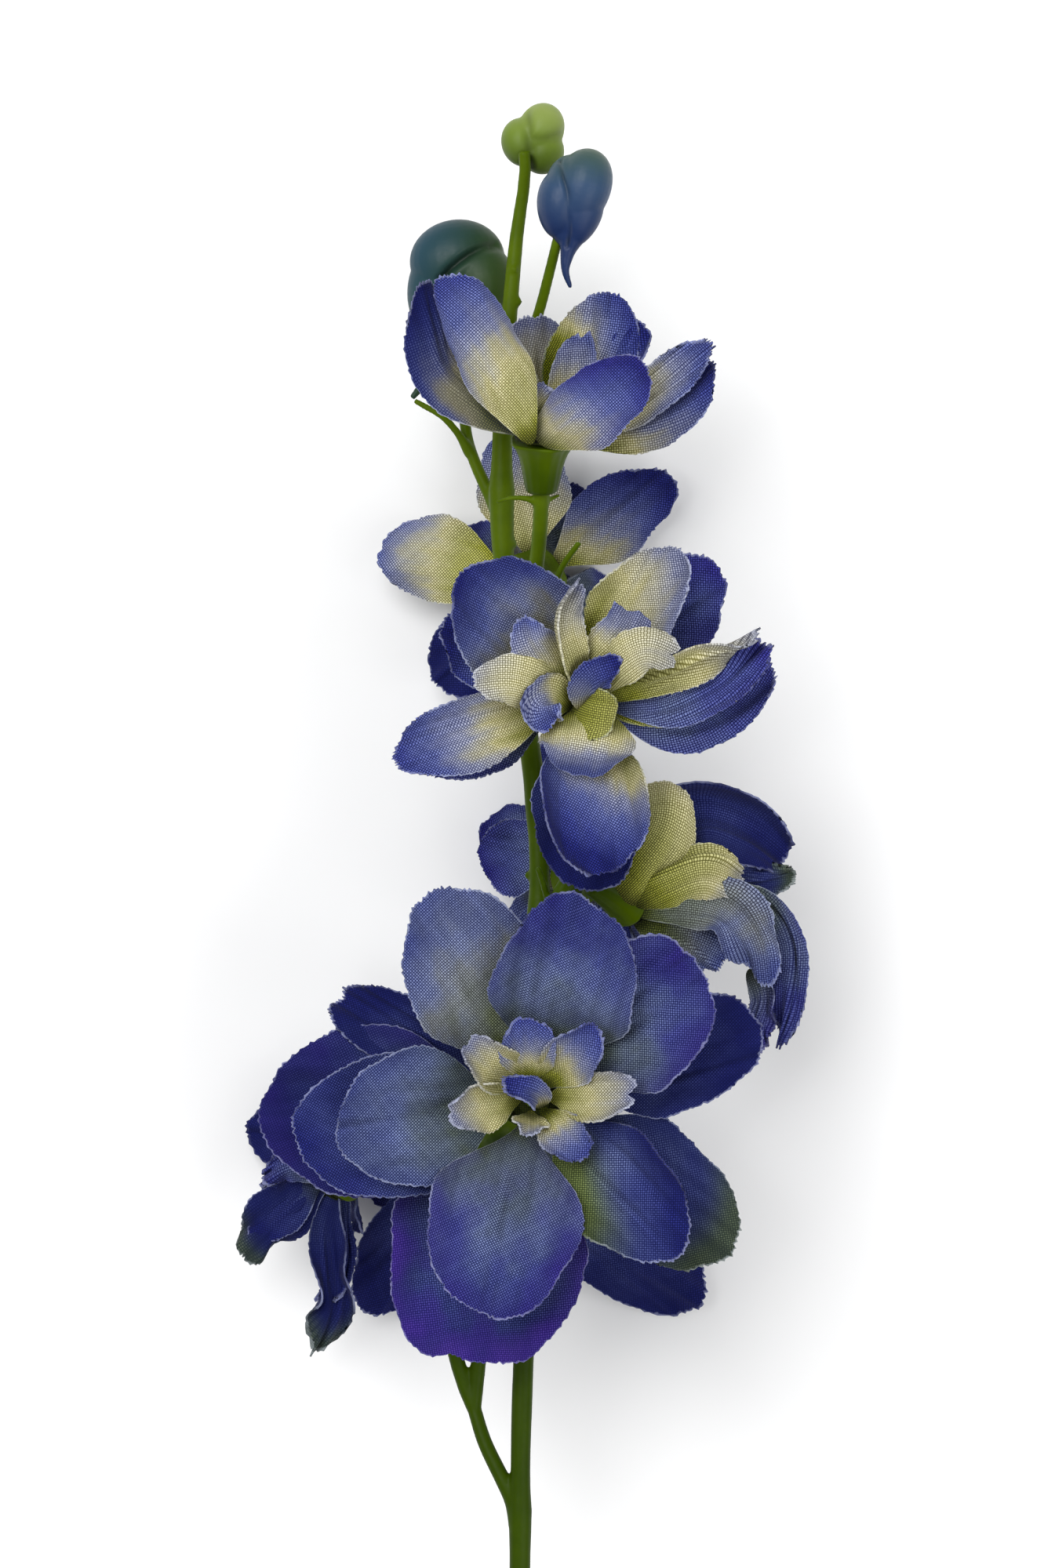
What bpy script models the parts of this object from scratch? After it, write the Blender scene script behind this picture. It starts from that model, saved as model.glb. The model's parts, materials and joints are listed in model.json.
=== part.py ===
# Artificial delphinium spray, lying on a surface: moulded stem, calyces and buds, and woven petals.
# X runs across the spike, Y runs to its tip and Z is up from the surface.
# Sizes and places are in millimetres and angles in degrees. MM turns them into Blender's metres.
import math
from collections import namedtuple

import bmesh
import bpy
import numpy as np
from mathutils import Matrix, Vector

MM = 0.001
GAP = 0.3

# Places below are measured from a mark on the stem. The model's origin is the middle of its box.
BOX_MIDDLE = (-1.65, -37.44)

CLOTH_THICKNESS = 0.7
# Cloth lower than this touches the surface, and a soft bend of this height leads down to it.
SETTLE = 0.1
SOFT_BEND = 0.6
INNER_GRID = (4, 4)
OUTER_GRID = (3, 4)
BACK_GRID = (3, 3)
RESTING_GRID = (3, 4)
CENTRE_GRID = (3, 3)
BACK_CENTRE_GRID = (2, 3)
# A petal leaves its hub no steeper than this, and has its own rise from the knee on.
ROOT_RISE = 28
KNEE = 0.16
# The share of its length where a petal of each layer reaches its full width.
FULL_WIDTHS = (0.55, 0.65, 0.8)

# The hubs of the outer, inner and centre layers are stacked on the peg, each smaller.
HUB_RADII = (4.3, 3.5, 2.5)
ROOT_DEPTHS = (1.1, 0.9, 0.7)
ROOT_WIDTHS = (3.6, 3.0, 1.4)
HUB_THICKNESS = 0.9
HUB_SIDES = 6
PEG_RADIUS = 0.7
PEG_HOLE_RADIUS = 1.15
LAYER_STEP = HUB_THICKNESS + GAP
HEAD_RADIUS = 1.3
HEAD_THICKNESS = 0.8

CALYX_LENGTH = 8.2
CALYX_RADIUS = 5.7
CALYX_LOBES = 5
LOBE_NOTCH = 0.88
SOCKET_RADIUS = 1.5
SOCKET_DEPTH = 3.0
STALK_RADIUS = SOCKET_RADIUS - GAP

BORE_RADIUS = 0.9
WIRE_RADIUS = BORE_RADIUS - GAP

Petal = namedtuple("Petal", "turn length width rise_root rise_tip cup bend roll")

# Each floret: the middle of its hub, the way it faces, and its outer, inner and centre petals.
# A petal: its turn about the hub, length, width, rise above the hub's plane at its root and
# tip, the half angle of its cupped section, its sideways bend and its roll.
FLORETS = {
    "top": {
        "hub": (3.1, 52.0, 50.0),
        "facing": (0.02, 0.94, 0.34),
        "outer": [
            Petal(206, 29, 20, 24, 84, 32, 0, 0),
            Petal(338, 27, 19, 4, 60, 28, 0, 0),
            Petal(50, 23, 14, 30, 60, 20, 0, 0),
            Petal(120, 22, 13, 30, 66, 20, 0, 0),
        ],
        "inner": [
            Petal(240, 27, 22, 44, 80, 36, -2, 0),
            Petal(306, 26, 23, 22, 68, 40, 4, 0),
            Petal(352, 27, 14, 20, 55, 24, 0, 0),
            Petal(34, 24, 17, 44, 78, 25, 0, 0),
            Petal(124, 18, 15, 50, 80, 25, 0, 0),
        ],
        "centre": [
            Petal(22, 13, 6, 78, 60, 25, 0, 0),
            Petal(143, 11, 6, 78, 66, 25, 0, 0),
            Petal(262, 11, 6, 78, 66, 25, 0, 0),
        ],
    },
    "upper_back": {
        "hub": (1.8, 31.9, 12.0),
        "facing": (0, 0, -1),
        "outer": [
            Petal(-38, 24, 13, 8, 14, 15, 0, 0),
            Petal(-96, 21, 15, 8, 14, 15, 0, 0),
            Petal(-168, 22.2, 13.5, 8, 10, 15, 0, 0),
            Petal(-228, 20, 12, 8, 14, 15, 0, 0),
            Petal(-305, 20, 12, 8, 14, 15, 0, 0),
        ],
        "inner": [
            Petal(-66, 20, 12, 62, 24, 15, 0, 0),
            Petal(-156, 20, 12, 62, 24, 15, 0, 0),
            Petal(-246, 20, 12, 62, 24, 15, 0, 0),
            Petal(-336, 20, 12, 62, 24, 15, 0, 0),
        ],
        "centre": [
            Petal(-10, 8, 5, 70, 60, 20, 0, 0),
            Petal(-100, 8, 5, 70, 60, 20, 0, 0),
            Petal(-190, 8, 5, 70, 60, 20, 0, 0),
            Petal(-280, 8, 5, 70, 60, 20, 0, 0),
        ],
    },
    "middle": {
        "hub": (8.2, 13.0, 52.0),
        "facing": (0, 0, 1),
        "outer": [
            Petal(150, 20, 14, 18, 10, 20, 0, 0),
            Petal(42, 26.5, 15, 18, 10, 20, 0, 0),
            Petal(3, 26.5, 17, 10, 6, 20, 0, 0),
            Petal(-85, 27, 17, 2, -12, 15, 0, 0),
            Petal(203, 22, 11, 4, -10, 15, 0, 0),
        ],
        "inner": [
            Petal(130, 27.5, 19, 50, 24, 34, 0, 0),
            Petal(55, 29, 14, 44, 20, 25, 0, 0),
            Petal(17, 32, 13, 36, 16, 25, 0, 40),
            Petal(-82, 27, 18, 24, -6, 25, 0, 0),
            Petal(199, 28, 11, 30, -4, 20, 0, 0),
        ],
        "centre": [
            Petal(170, 14, 7, 62, 24, 20, 0, 0),
            Petal(132, 17, 7, 78, 30, 25, 0, 0),
            Petal(95, 18, 7, 70, 30, 25, 0, 0),
            Petal(58, 17, 7, 78, 24, 25, 0, 0),
            Petal(20, 16, 7, 62, 20, 20, 0, 0),
            Petal(-75, 13, 10, 72, 0, 30, 0, 0),
            Petal(215, 11, 7, 76, 40, 25, 0, 0),
        ],
    },
    "right": {
        "hub": (16.8, -17.6, 37.0),
        "facing": (0.75, -0.38, -0.54),
        "outer": [
            Petal(288, 15, 17, 8, -4, 15, 0, 0),
            Petal(36, 23, 15, 34, 24, 25, 3, 0),
            Petal(88, 16, 11, 24, 18, 20, 0, 0),
            Petal(190, 14, 11, 24, 24, 20, 0, 0),
        ],
        "inner": [
            Petal(296, 18, 16, 28, 6, 20, 0, 0),
            Petal(314, 24, 20, 42, 26, 20, 0, 0),
            Petal(352, 22.5, 10, 54, 44, 20, 0, 0),
            Petal(52, 30, 11, 58, 40, 20, 9, 0),
            Petal(170, 16, 12, 56, 40, 20, 0, 0),
        ],
        "centre": [
            Petal(20, 9, 6, 80, 70, 20, 0, 0),
            Petal(140, 9, 6, 80, 70, 20, 0, 0),
            Petal(260, 9, 6, 80, 70, 20, 0, 0),
        ],
    },
    "middle_back": {
        "hub": (9.1, -13.5, 11.8),
        "facing": (-0.12, 0, -1),
        "outer": [
            Petal(-168, 13, 12, 6, 10, 15, 0, 0),
            Petal(-100, 18, 12, 8, 12, 15, 0, 0),
            Petal(-30, 17, 12, 8, 12, 15, 0, 0),
            Petal(40, 15, 11, 8, 12, 15, 0, 0),
            Petal(115, 15, 11, 8, 12, 15, 0, 0),
        ],
        "inner": [
            Petal(-62, 19, 12, 64, 26, 15, 0, 0),
            Petal(-152, 19, 12, 64, 26, 15, 0, 0),
            Petal(-242, 19, 12, 64, 26, 15, 0, 0),
            Petal(-332, 19, 12, 64, 26, 15, 0, 0),
        ],
        "centre": [
            Petal(-10, 8, 5, 70, 60, 20, 0, 0),
            Petal(-100, 8, 5, 70, 60, 20, 0, 0),
            Petal(-190, 8, 5, 70, 60, 20, 0, 0),
            Petal(-280, 8, 5, 70, 60, 20, 0, 0),
        ],
    },
    "large": {
        "hub": (1.7, -47.2, 52.0),
        "facing": (0, 0, 1),
        "outer": [
            Petal(18, 33, 18, 8, -12, 15, 0, 0),
            Petal(-38, 34, 19, 8, -12, 15, 0, 0),
            Petal(258, 38, 26, 8, -12, 15, 0, 0),
            Petal(184, 36.5, 25, 8, -12, 15, 0, 0),
            Petal(153, 31, 12, 8, -8, 15, 0, 0),
        ],
        "inner": [
            Petal(80, 33.5, 22, 40, 20, 20, 0, 0),
            Petal(115, 35.3, 20, 28, 14, 20, 0, 0),
            Petal(187, 31, 20.6, 32, 10, 20, 0, 0),
            Petal(256, 33, 24, 34, 8, 20, 0, 0),
            Petal(-46, 28, 16, 28, 10, 20, 0, 0),
            Petal(34, 32, 20, 26, 12, 20, 0, 0),
        ],
        "centre": [
            Petal(139, 15.4, 7.5, 60, 10, 20, 0, 0),
            Petal(95, 14.4, 7, 60, 14, 20, 0, 0),
            Petal(48, 16.2, 7.5, 60, 10, 20, 0, 0),
            Petal(3, 16.2, 7.5, 56, 10, 20, 0, 0),
            Petal(-50, 12, 7, 60, 10, 20, 0, 0),
            Petal(188, 14, 7.5, 56, 10, 20, 0, 0),
        ],
    },
    "left_back": {
        "hub": (-28.5, -60.6, 24.0),
        "facing": (-0.6, -0.6, -0.5),
        "outer": [
            Petal(72, 26, 7, 36, 34, 25, 0, 0),
            Petal(122, 20, 12, 46, 44, 25, 0, 0),
            Petal(185, 11, 8, 42, 38, 20, 0, 0),
            Petal(340, 12, 8, 50, 60, 20, 0, 0),
        ],
        "inner": [
            Petal(50, 26, 6, 48, 34, 20, 0, 0),
            Petal(140, 14, 8, 70, 70, 20, 0, 0),
            Petal(225, 12, 8, 70, 70, 20, 0, 0),
            Petal(300, 12, 8, 70, 70, 20, 0, 0),
        ],
        "centre": [
            Petal(0, 8, 5, 84, 80, 20, 0, 0),
            Petal(120, 8, 5, 84, 80, 20, 0, 0),
            Petal(240, 8, 5, 84, 80, 20, 0, 0),
        ],
    },
    "low_back": {
        "hub": (-3.1, -57.5, 13.7),
        "facing": (0, 0, -1),
        "outer": [
            Petal(-175, 39, 18, 8, 24, 15, 0, 0),
            Petal(-228, 31, 16, 8, 20, 15, 0, 0),
            Petal(37, 37, 18, 8, 20, 15, 0, 0),
            Petal(-110, 25, 14, 8, 20, 15, 0, 0),
            Petal(-50, 25, 14, 8, 20, 15, 0, 0),
        ],
        "inner": [
            Petal(20, 26, 14, 56, 14, 15, 0, 0),
            Petal(92, 26, 14, 56, 14, 15, 0, 0),
            Petal(164, 26, 14, 56, 14, 15, 0, 0),
            Petal(236, 26, 14, 56, 14, 15, 0, 0),
            Petal(308, 26, 14, 56, 14, 15, 0, 0),
        ],
        "centre": [
            Petal(-10, 8, 5, 70, 60, 20, 0, 0),
            Petal(-100, 8, 5, 70, 60, 20, 0, 0),
            Petal(-190, 8, 5, 70, 60, 20, 0, 0),
            Petal(-280, 8, 5, 70, 60, 20, 0, 0),
        ],
    },
}

STEM_ROUTE = [
    (-1.3, -179.0, 27.0),
    (-0.9, -156.9, 29.5),
    (-0.5, -134.9, 31.5),
    (-0.3, -117.8, 33.0),
    (-0.2, -102.1, 34.0),
    (0.2, -88.9, 34.0),
    (0.8, -72.1, 34.0),
    (1.7, -48.0, 34.0),
    (2.6, -24.0, 34.0),
    (2.6, -10.8, 34.0),
    (1.9, 0.0, 34.0),
    (-0.1, 14.4, 34.5),
    (-1.9, 26.4, 34.5),
    (-2.9, 36.0, 35.0),
    (-3.1, 48.0, 35.0),
    (-2.7, 60.0, 35.0),
    (-1.9, 72.0, 35.0),
    (-0.8, 84.0, 35.0),
    (0.3, 91.2, 36.0),
    (0.8, 94.5, 36.0),
]
STEM_RADIUS = 1.6
STEM_TIP_RADIUS = 0.9
TAPER_START = 50.0
STEM_STEP = 14
TWIG_STEP = 4.5
WIRE_TOP = 50.0

# Side twigs: their route and their radius at the root and the tip.
TWIGS = {
    "to_left_bud": ([(-1.9, 36.0, 35.0), (-4.0, 42.1, 33.5), (-7.2, 49.3, 32.0), (-8.6, 54.3, 30.0),
                     (-8.9, 60.4, 28.5), (-8.2, 67.7, 27.5), (-7.9, 73.5, 27.0)], 1.0, 0.8),
    "tendril": ([(-7.9, 50.8, 31.5), (-9.9, 53.9, 32.5), (-12.1, 56.3, 33.0), (-14.5, 57.7, 33.0),
                 (-16.5, 58.8, 33.0)], 0.7, 0.45),
    "to_right_bud": ([(-1.6, 60.0, 35.0), (0.3, 65.9, 36.5), (2.5, 71.7, 38.5), (4.1, 77.5, 41.5),
                      (5.2, 81.6, 44.0)], 0.9, 0.8),
    "bare": ([(0.1, 13.0, 34.5), (2.0, 20.0, 36.0), (4.1, 26.3, 38.5),
              (4.8, 29.6, 41.0), (6.2, 33.1, 44.0), (8.7, 36.6, 46.0)], 0.8, 0.5),
    "tip": ([(2.7, -22.8, 35.0), (4.1, -19.1, 40.0), (3.4, -15.7, 42.0), (2.4, -12.6, 43.0)], 0.8, 0.5),
    "left_bract": ([(2.8, 42.4, 46.2), (0.6, 43.2, 47.4), (-1.8, 43.2, 47.6), (-4.0, 42.6, 46.6)], 0.6, 0.3),
    "right_bract": ([(2.8, 42.4, 46.2), (4.2, 43.1, 46.2), (5.7, 43.8, 45.4)], 0.6, 0.3),
    "low": ([(-0.4, -114.0, 33.3), (-1.2, -110.4, 33.2), (-3.1, -106.4, 33.0), (-5.7, -101.1, 32.0),
             (-7.4, -95.8, 31.0)], 1.3, 1.1),
}

# Floret stalks: where each leaves the stem or a twig, and the way it sets off.
STALKS = {
    "top": ((-0.9, 20.0, 34.5), (0.3, 1.0, 0.4)),
    "upper_back": ((-1.2, 21.0, 34.5), (0.3, 1.0, -0.6)),
    "middle": ((2.4, -6.0, 34.0), (0.4, 1.0, 0.5)),
    "right": ((2.5, -34.0, 34.0), (0.2, 1.0, 0.9)),
    "middle_back": ((2.6, -24.0, 34.0), (0.5, 1.0, -0.5)),
    "large": ((1.2, -62.0, 34.0), (0.1, 1.0, 0.6)),
    "left_back": ((-7.4, -95.8, 31.0), (-0.5, 1.0, -0.1)),
    "low_back": ((-7.4, -95.8, 31.0), (0.1, 1.0, 0.0)),
}

# Buds: ellipsoid lobes as middle and half sizes, a spur's route, and the twig end that enters.
BUDS = {
    "top_bud": {
        "lobes": [((3.0, 100.4, 34.5), (3.5, 3.9, 3.4), 0.0), ((-0.1, 98.2, 34.0), (3.2, 3.6, 3.0), 0.0),
                  ((3.2, 96.8, 33.6), (3.3, 3.4, 3.0), 0.0)],
        "spur": None,
        "entry": ((0.3, 91.2, 36.0), (0.8, 94.5, 36.0)),
    },
    "right_bud": {
        "lobes": [((7.5, 88.9, 45.0), (5.3, 7.4, 4.6), 0.42)],
        "spur": [(7.6, 84.0, 45.0), (6.9, 80.5, 45.0), (6.8, 77.6, 45.0), (7.4, 75.4, 44.5)],
        "entry": ((4.1, 77.5, 41.5), (5.4, 82.6, 44.2)),
    },
    "left_bud": {
        "lobes": [((-10.6, 80.6, 26.0), (6.8, 6.4, 5.0), 0.0), ((-6.2, 78.0, 27.4), (4.8, 5.6, 4.2), 0.0),
                  ((-13.2, 76.4, 25.0), (4.2, 6.6, 4.0), 0.0)],
        "spur": [(-14.0, 73.0, 25.0), (-14.6, 69.1, 25.0), (-14.2, 63.6, 26.0), (-17.0, 59.5, 27.0)],
        "entry": ((-8.2, 67.7, 27.5), (-7.9, 73.5, 27.0)),
    },
}

COLOURS = {
    "stem": (0.10, 0.22, 0.03),
    "calyx": (0.12, 0.26, 0.04),
    "bud_green": (0.22, 0.38, 0.08),
    "bud_blue": (0.05, 0.12, 0.26),
    "bud_teal": (0.04, 0.13, 0.15),
    "petal_blue": (0.10, 0.13, 0.48),
    "petal_deep": (0.05, 0.05, 0.38),
    "petal_cream": (0.62, 0.62, 0.40),
    "steel": (0.45, 0.45, 0.46),
}


def material(name, roughness=0.6, metallic=0.0):
    made = bpy.data.materials.get(name) or bpy.data.materials.new(name)
    made.use_nodes = True
    shader = made.node_tree.nodes["Principled BSDF"]
    shader.inputs["Base Color"].default_value = (*COLOURS[name], 1)
    shader.inputs["Roughness"].default_value = roughness
    shader.inputs["Metallic"].default_value = metallic
    return made


def new_object(name, mesh):
    made = bpy.data.objects.new(name, mesh)
    bpy.context.scene.collection.objects.link(made)
    return made


def object_from(name, bm):
    mesh = bpy.data.meshes.new(name)
    bm.to_mesh(mesh)
    bm.free()
    return new_object(name, mesh)


def evaluated_mesh(source):
    graph = bpy.context.evaluated_depsgraph_get()
    return bpy.data.meshes.new_from_object(source.evaluated_get(graph))


def combine(base, parts, operation="UNION", solver="MANIFOLD"):
    """Join or cut the base with the parts, apply it and remove them."""
    group = bpy.data.collections.new(base.name + "_parts")
    bpy.context.scene.collection.children.link(group)
    for part in parts:
        group.objects.link(part)
    step = base.modifiers.new("combine", "BOOLEAN")
    step.operation = operation
    step.operand_type = "COLLECTION"
    step.collection = group
    step.solver = solver
    result = evaluated_mesh(base)
    result.materials.clear()
    base.modifiers.clear()
    base.data = result
    for part in parts:
        bpy.data.objects.remove(part)
    bpy.data.collections.remove(group)
    return base


def smooth_route(points, step):
    """A Catmull-Rom curve through the points, read about every step along it."""
    ends = [2 * Vector(points[0]) - Vector(points[1]), 2 * Vector(points[-1]) - Vector(points[-2])]
    route = [ends[0], *map(Vector, points), ends[1]]
    result = []
    for a, b, c, d in zip(route, route[1:], route[2:], route[3:]):
        count = max(1, round((c - b).length / step))
        for i in range(count):
            t = i / count
            result.append(0.5 * (2 * b + (c - a) * t + (2 * a - 5 * b + 4 * c - d) * t * t
                                 + (3 * b - a - 3 * c + d) * t ** 3))
    result.append(Vector(points[-1]))
    return result


def hermite(start, start_way, end, end_way, count):
    pull = 1.1 * (Vector(end) - Vector(start)).length
    a, b = Vector(start), Vector(end)
    u, v = Vector(start_way).normalized() * pull, Vector(end_way).normalized() * pull
    result = []
    for i in range(count + 1):
        t = i / count
        result.append(a * (2 * t ** 3 - 3 * t * t + 1) + u * (t ** 3 - 2 * t * t + t)
                      + b * (3 * t * t - 2 * t ** 3) + v * (t ** 3 - t * t))
    return result


def tube(name, route, radii, roundness=1):
    """A closed tube along the route. The radii are for its points, or the two ends'."""
    if len(radii) != len(route):
        radii = np.linspace(radii[0], radii[-1], len(route))
    curve = bpy.data.curves.new(name, "CURVE")
    curve.dimensions = "3D"
    curve.bevel_depth = MM
    curve.bevel_resolution = roundness
    curve.use_fill_caps = True
    spline = curve.splines.new("POLY")
    spline.points.add(len(route) - 1)
    for point, place, radius in zip(spline.points, route, radii):
        point.co = (*(MM * Vector(place)), 1)
        point.radius = radius
    made = new_object(name, curve)
    bm = bmesh.new()
    bm.from_mesh(evaluated_mesh(made))
    bpy.data.objects.remove(made)
    bmesh.ops.remove_doubles(bm, verts=bm.verts, dist=0.001 * MM)
    return object_from(name, bm)


def axes(facing):
    """The floret's own axes: across, the second across, and the way it faces."""
    ahead = Vector(facing).normalized()
    across = (Vector((1, 0, 0)) - ahead.x * ahead).normalized()
    return across, ahead.cross(across), ahead


def floret_matrix(floret):
    across, second, ahead = axes(floret["facing"])
    turned = Matrix((across, second, ahead)).transposed().to_4x4()
    return Matrix.Translation(MM * Vector(floret["hub"])) @ turned


def turned_solid(name, profile, sides):
    """Spin a profile of (radius, height), from axis to axis, into a closed solid."""
    bm = bmesh.new()
    points = [bm.verts.new((MM * radius, 0, MM * height)) for radius, height in profile]
    edges = [bm.edges.new(pair) for pair in zip(points, points[1:])]
    bmesh.ops.spin(bm, geom=points + edges, axis=(0, 0, 1), cent=(0, 0, 0), steps=sides,
                   angle=2 * math.pi, use_merge=True)
    bmesh.ops.remove_doubles(bm, verts=bm.verts, dist=0.001 * MM)
    bmesh.ops.recalc_face_normals(bm, faces=bm.faces)
    return object_from(name, bm)


def middle_line(data, root_radius, height):
    """The petal's middle line as distance out from the hub and height above it."""
    share = np.linspace(0, 1, 60)
    rise = np.radians(np.interp(share, [0, KNEE, 1],
                                [min(data.rise_root, ROOT_RISE), data.rise_root, data.rise_tip]))
    step = data.length * share[1]
    out = root_radius + step * (np.cumsum(np.cos(rise)) - np.cos(rise) / 2 - 0.5 * np.cos(rise[0]))
    up = height + step * (np.cumsum(np.sin(rise)) - np.sin(rise) / 2 - 0.5 * np.sin(rise[0]))
    return share, out, up, rise


def petal(name, data, layer, height, grid):
    """One petal in its floret's axes, a curved blade that starts inside the hub ring."""
    bm = bmesh.new()
    bmesh.ops.create_grid(bm, x_segments=grid[0], y_segments=grid[1], size=1)
    bmesh.ops.triangulate(bm, faces=bm.faces, quad_method="FIXED")
    side, along = np.array([v.co[:2] for v in bm.verts]).T
    # The square grid becomes a round outline.
    side, along = side * np.sqrt(1 - along ** 2 / 2), along * np.sqrt(1 - side ** 2 / 2)
    share = (along + 1) / 2
    ease = np.clip(share / FULL_WIDTHS[layer], 0, 1)
    root_share = ROOT_WIDTHS[layer] / data.width
    broad = root_share + (1 - root_share) * ease ** 2 * (3 - 2 * ease)
    half = side * broad * data.width / 2
    line = middle_line(data, HUB_RADII[layer] - ROOT_DEPTHS[layer], height)
    out, up, rise = (np.interp(share, line[0], values) for values in line[1:])
    # The section is an arc, rolled about the middle line.
    radius = data.width / 2 / math.radians(data.cup)
    across = radius * np.sin(half / radius)
    lift = radius * (1 - np.cos(half / radius))
    roll = math.radians(data.roll) * share
    across, lift = across * np.cos(roll) - lift * np.sin(roll), across * np.sin(roll) + lift * np.cos(roll)
    across = across + data.bend * share ** 2
    out, up = out - lift * np.sin(rise), up + lift * np.cos(rise)
    turn = math.radians(data.turn)
    x = out * math.cos(turn) - across * math.sin(turn)
    y = out * math.sin(turn) + across * math.cos(turn)
    for vertex, place in zip(bm.verts, MM * np.stack([x, y, up], 1)):
        vertex.co = place
    return object_from(name, bm)


def lay_on_surface(mesh):
    """Flatten what would reach below the surface, with a short soft bend before it."""
    rest = CLOTH_THICKNESS / 2
    for vertex in mesh.vertices:
        above = vertex.co.z / MM - rest
        if above < SOFT_BEND:
            above = max(0.0, above + SOFT_BEND) ** 2 / (4 * SOFT_BEND)
            vertex.co.z = MM * (above + rest)


def thickened(blade):
    """The blade with its cloth's thickness, its lowest points exactly on the surface."""
    thick = blade.modifiers.new("thickness", "SOLIDIFY")
    thick.thickness = CLOTH_THICKNESS * MM
    thick.offset = 0
    result = evaluated_mesh(blade)
    blade.modifiers.clear()
    blade.data = result
    for vertex in result.vertices:
        if vertex.co.z < SETTLE * MM:
            vertex.co.z = 0
    return blade


def hub_ring(name, outer, height):
    """A short round plate with a hole for the peg."""
    inner = PEG_HOLE_RADIUS
    top, bottom = height + HUB_THICKNESS / 2, height - HUB_THICKNESS / 2
    profile = [(inner, top), (outer, top), (outer, bottom), (inner, bottom), (inner, top)]
    return turned_solid(name, profile, HUB_SIDES)


def petal_layer(name, floret, petals, layer, grid, colour):
    place = floret_matrix(floret)
    height = HUB_THICKNESS / 2 + layer * LAYER_STEP
    base = hub_ring(name, HUB_RADII[layer], height)
    base.data.transform(place)
    blades = []
    for number, data in enumerate(petals):
        blade = petal(f"{name}_{number}", data, layer, height, grid)
        blade.data.transform(place)
        lay_on_surface(blade.data)
        blades.append(thickened(blade))
    combine(base, blades)
    base.data.materials.append(material(colour, roughness=0.8))
    return base


def calyx(name, floret):
    """A lobed cone with a blind socket for its stalk, and a headed peg that holds the petals."""
    top = -GAP
    head = 3 * LAYER_STEP
    profile = [
        (0, SOCKET_DEPTH - CALYX_LENGTH), (SOCKET_RADIUS, SOCKET_DEPTH - CALYX_LENGTH),
        (SOCKET_RADIUS, -CALYX_LENGTH), (2.4, -CALYX_LENGTH), (3.4, -5.4),
        (CALYX_RADIUS, -1.0), (CALYX_RADIUS - 0.3, top), (PEG_RADIUS, top), (PEG_RADIUS, head),
        (HEAD_RADIUS, head), (0, head + HEAD_THICKNESS),
    ]
    made = turned_solid(name, profile, 2 * CALYX_LOBES)
    for vertex in made.data.vertices:
        flat = Vector((vertex.co.x, vertex.co.y))
        if flat.length > (CALYX_RADIUS - 0.5) * MM:
            step = round(math.atan2(flat.y, flat.x) / (math.pi / CALYX_LOBES))
            if step % 2:
                vertex.co.x *= LOBE_NOTCH
                vertex.co.y *= LOBE_NOTCH
    made.data.transform(floret_matrix(floret))
    made.data.materials.append(material("calyx", roughness=0.4))
    return made


def stalk(name):
    """From the stem or a twig to the calyx's socket."""
    floret = FLORETS[name]
    ahead = axes(floret["facing"])[2]
    start, way = STALKS[name]
    end = Vector(floret["hub"]) - (CALYX_LENGTH - SOCKET_DEPTH + GAP) * ahead
    mouth = Vector(floret["hub"]) - (CALYX_LENGTH + 0.5) * ahead
    route = hermite(start, way, mouth, ahead, 6) + [end]
    return tube(name + "_stalk", route, [STALK_RADIUS] * len(route))


def stem():
    route = smooth_route(STEM_ROUTE, STEM_STEP)
    heights = [place.y for place in route]
    radii = np.interp(heights, [TAPER_START, heights[-1]], [STEM_RADIUS, STEM_TIP_RADIUS])
    made = tube("stem", route, radii, 2)
    parts = [stalk(name) for name in FLORETS]
    for name, (points, root, tip) in TWIGS.items():
        parts.append(tube(name, smooth_route(points, TWIG_STEP), [root, tip]))
    combine(made, parts)
    bore = tube("bore", bore_route(1.0, WIRE_TOP + GAP), [BORE_RADIUS, BORE_RADIUS])
    combine(made, [bore], "DIFFERENCE")
    made.data.materials.append(material("stem", roughness=0.45))


def bore_route(below, top):
    """The stem's middle line from below its cut end to a height along it."""
    route = [place for place in smooth_route(STEM_ROUTE, STEM_STEP) if place.y < top - 2]
    start = route[0] + (route[0] - route[1]).normalized() * below
    return [start, *route[1:], route[-1] + (Vector((0, top, 0)) - Vector((0, route[-1].y, 0)))]


def wire_core():
    made = tube("wire_core", bore_route(0.0, WIRE_TOP), [WIRE_RADIUS, WIRE_RADIUS])
    made.data.materials.append(material("steel", roughness=0.35, metallic=1.0))


def lobe(name, middle, half_sizes, taper):
    """An ellipsoid, broader towards the spike's tip by its taper."""
    bm = bmesh.new()
    bmesh.ops.create_uvsphere(bm, u_segments=9, v_segments=7, radius=1)
    bmesh.ops.rotate(bm, verts=bm.verts, matrix=Matrix.Rotation(math.pi / 2, 3, "X"))
    for vertex in bm.verts:
        vertex.co.x *= 1 + taper * vertex.co.y
        vertex.co.z *= 1 + taper * vertex.co.y
    bmesh.ops.scale(bm, verts=bm.verts, vec=MM * Vector(half_sizes))
    bmesh.ops.translate(bm, verts=bm.verts, vec=MM * Vector(middle))
    return object_from(name, bm)


def bud(name, colour):
    data = BUDS[name]
    lobes = [lobe(f"{name}_{i}", *place) for i, place in enumerate(data["lobes"])]
    made = lobes[0]
    made.name = name
    parts = lobes[1:]
    if data["spur"]:
        parts.append(tube(name + "_spur", smooth_route(data["spur"], 2), [1.2, 0.5]))
    combine(made, parts)
    outside, inside = map(Vector, data["entry"])
    way = (inside - outside).normalized()
    hole = tube(name + "_hole", [inside - 12 * way, inside + GAP * way], [0.8 + GAP, 0.8 + GAP])
    combine(made, [hole], "DIFFERENCE")
    made.data.materials.append(material(colour, roughness=0.35))
    return made


def clear_scene():
    for old in list(bpy.data.objects):
        bpy.data.objects.remove(old)


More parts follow.
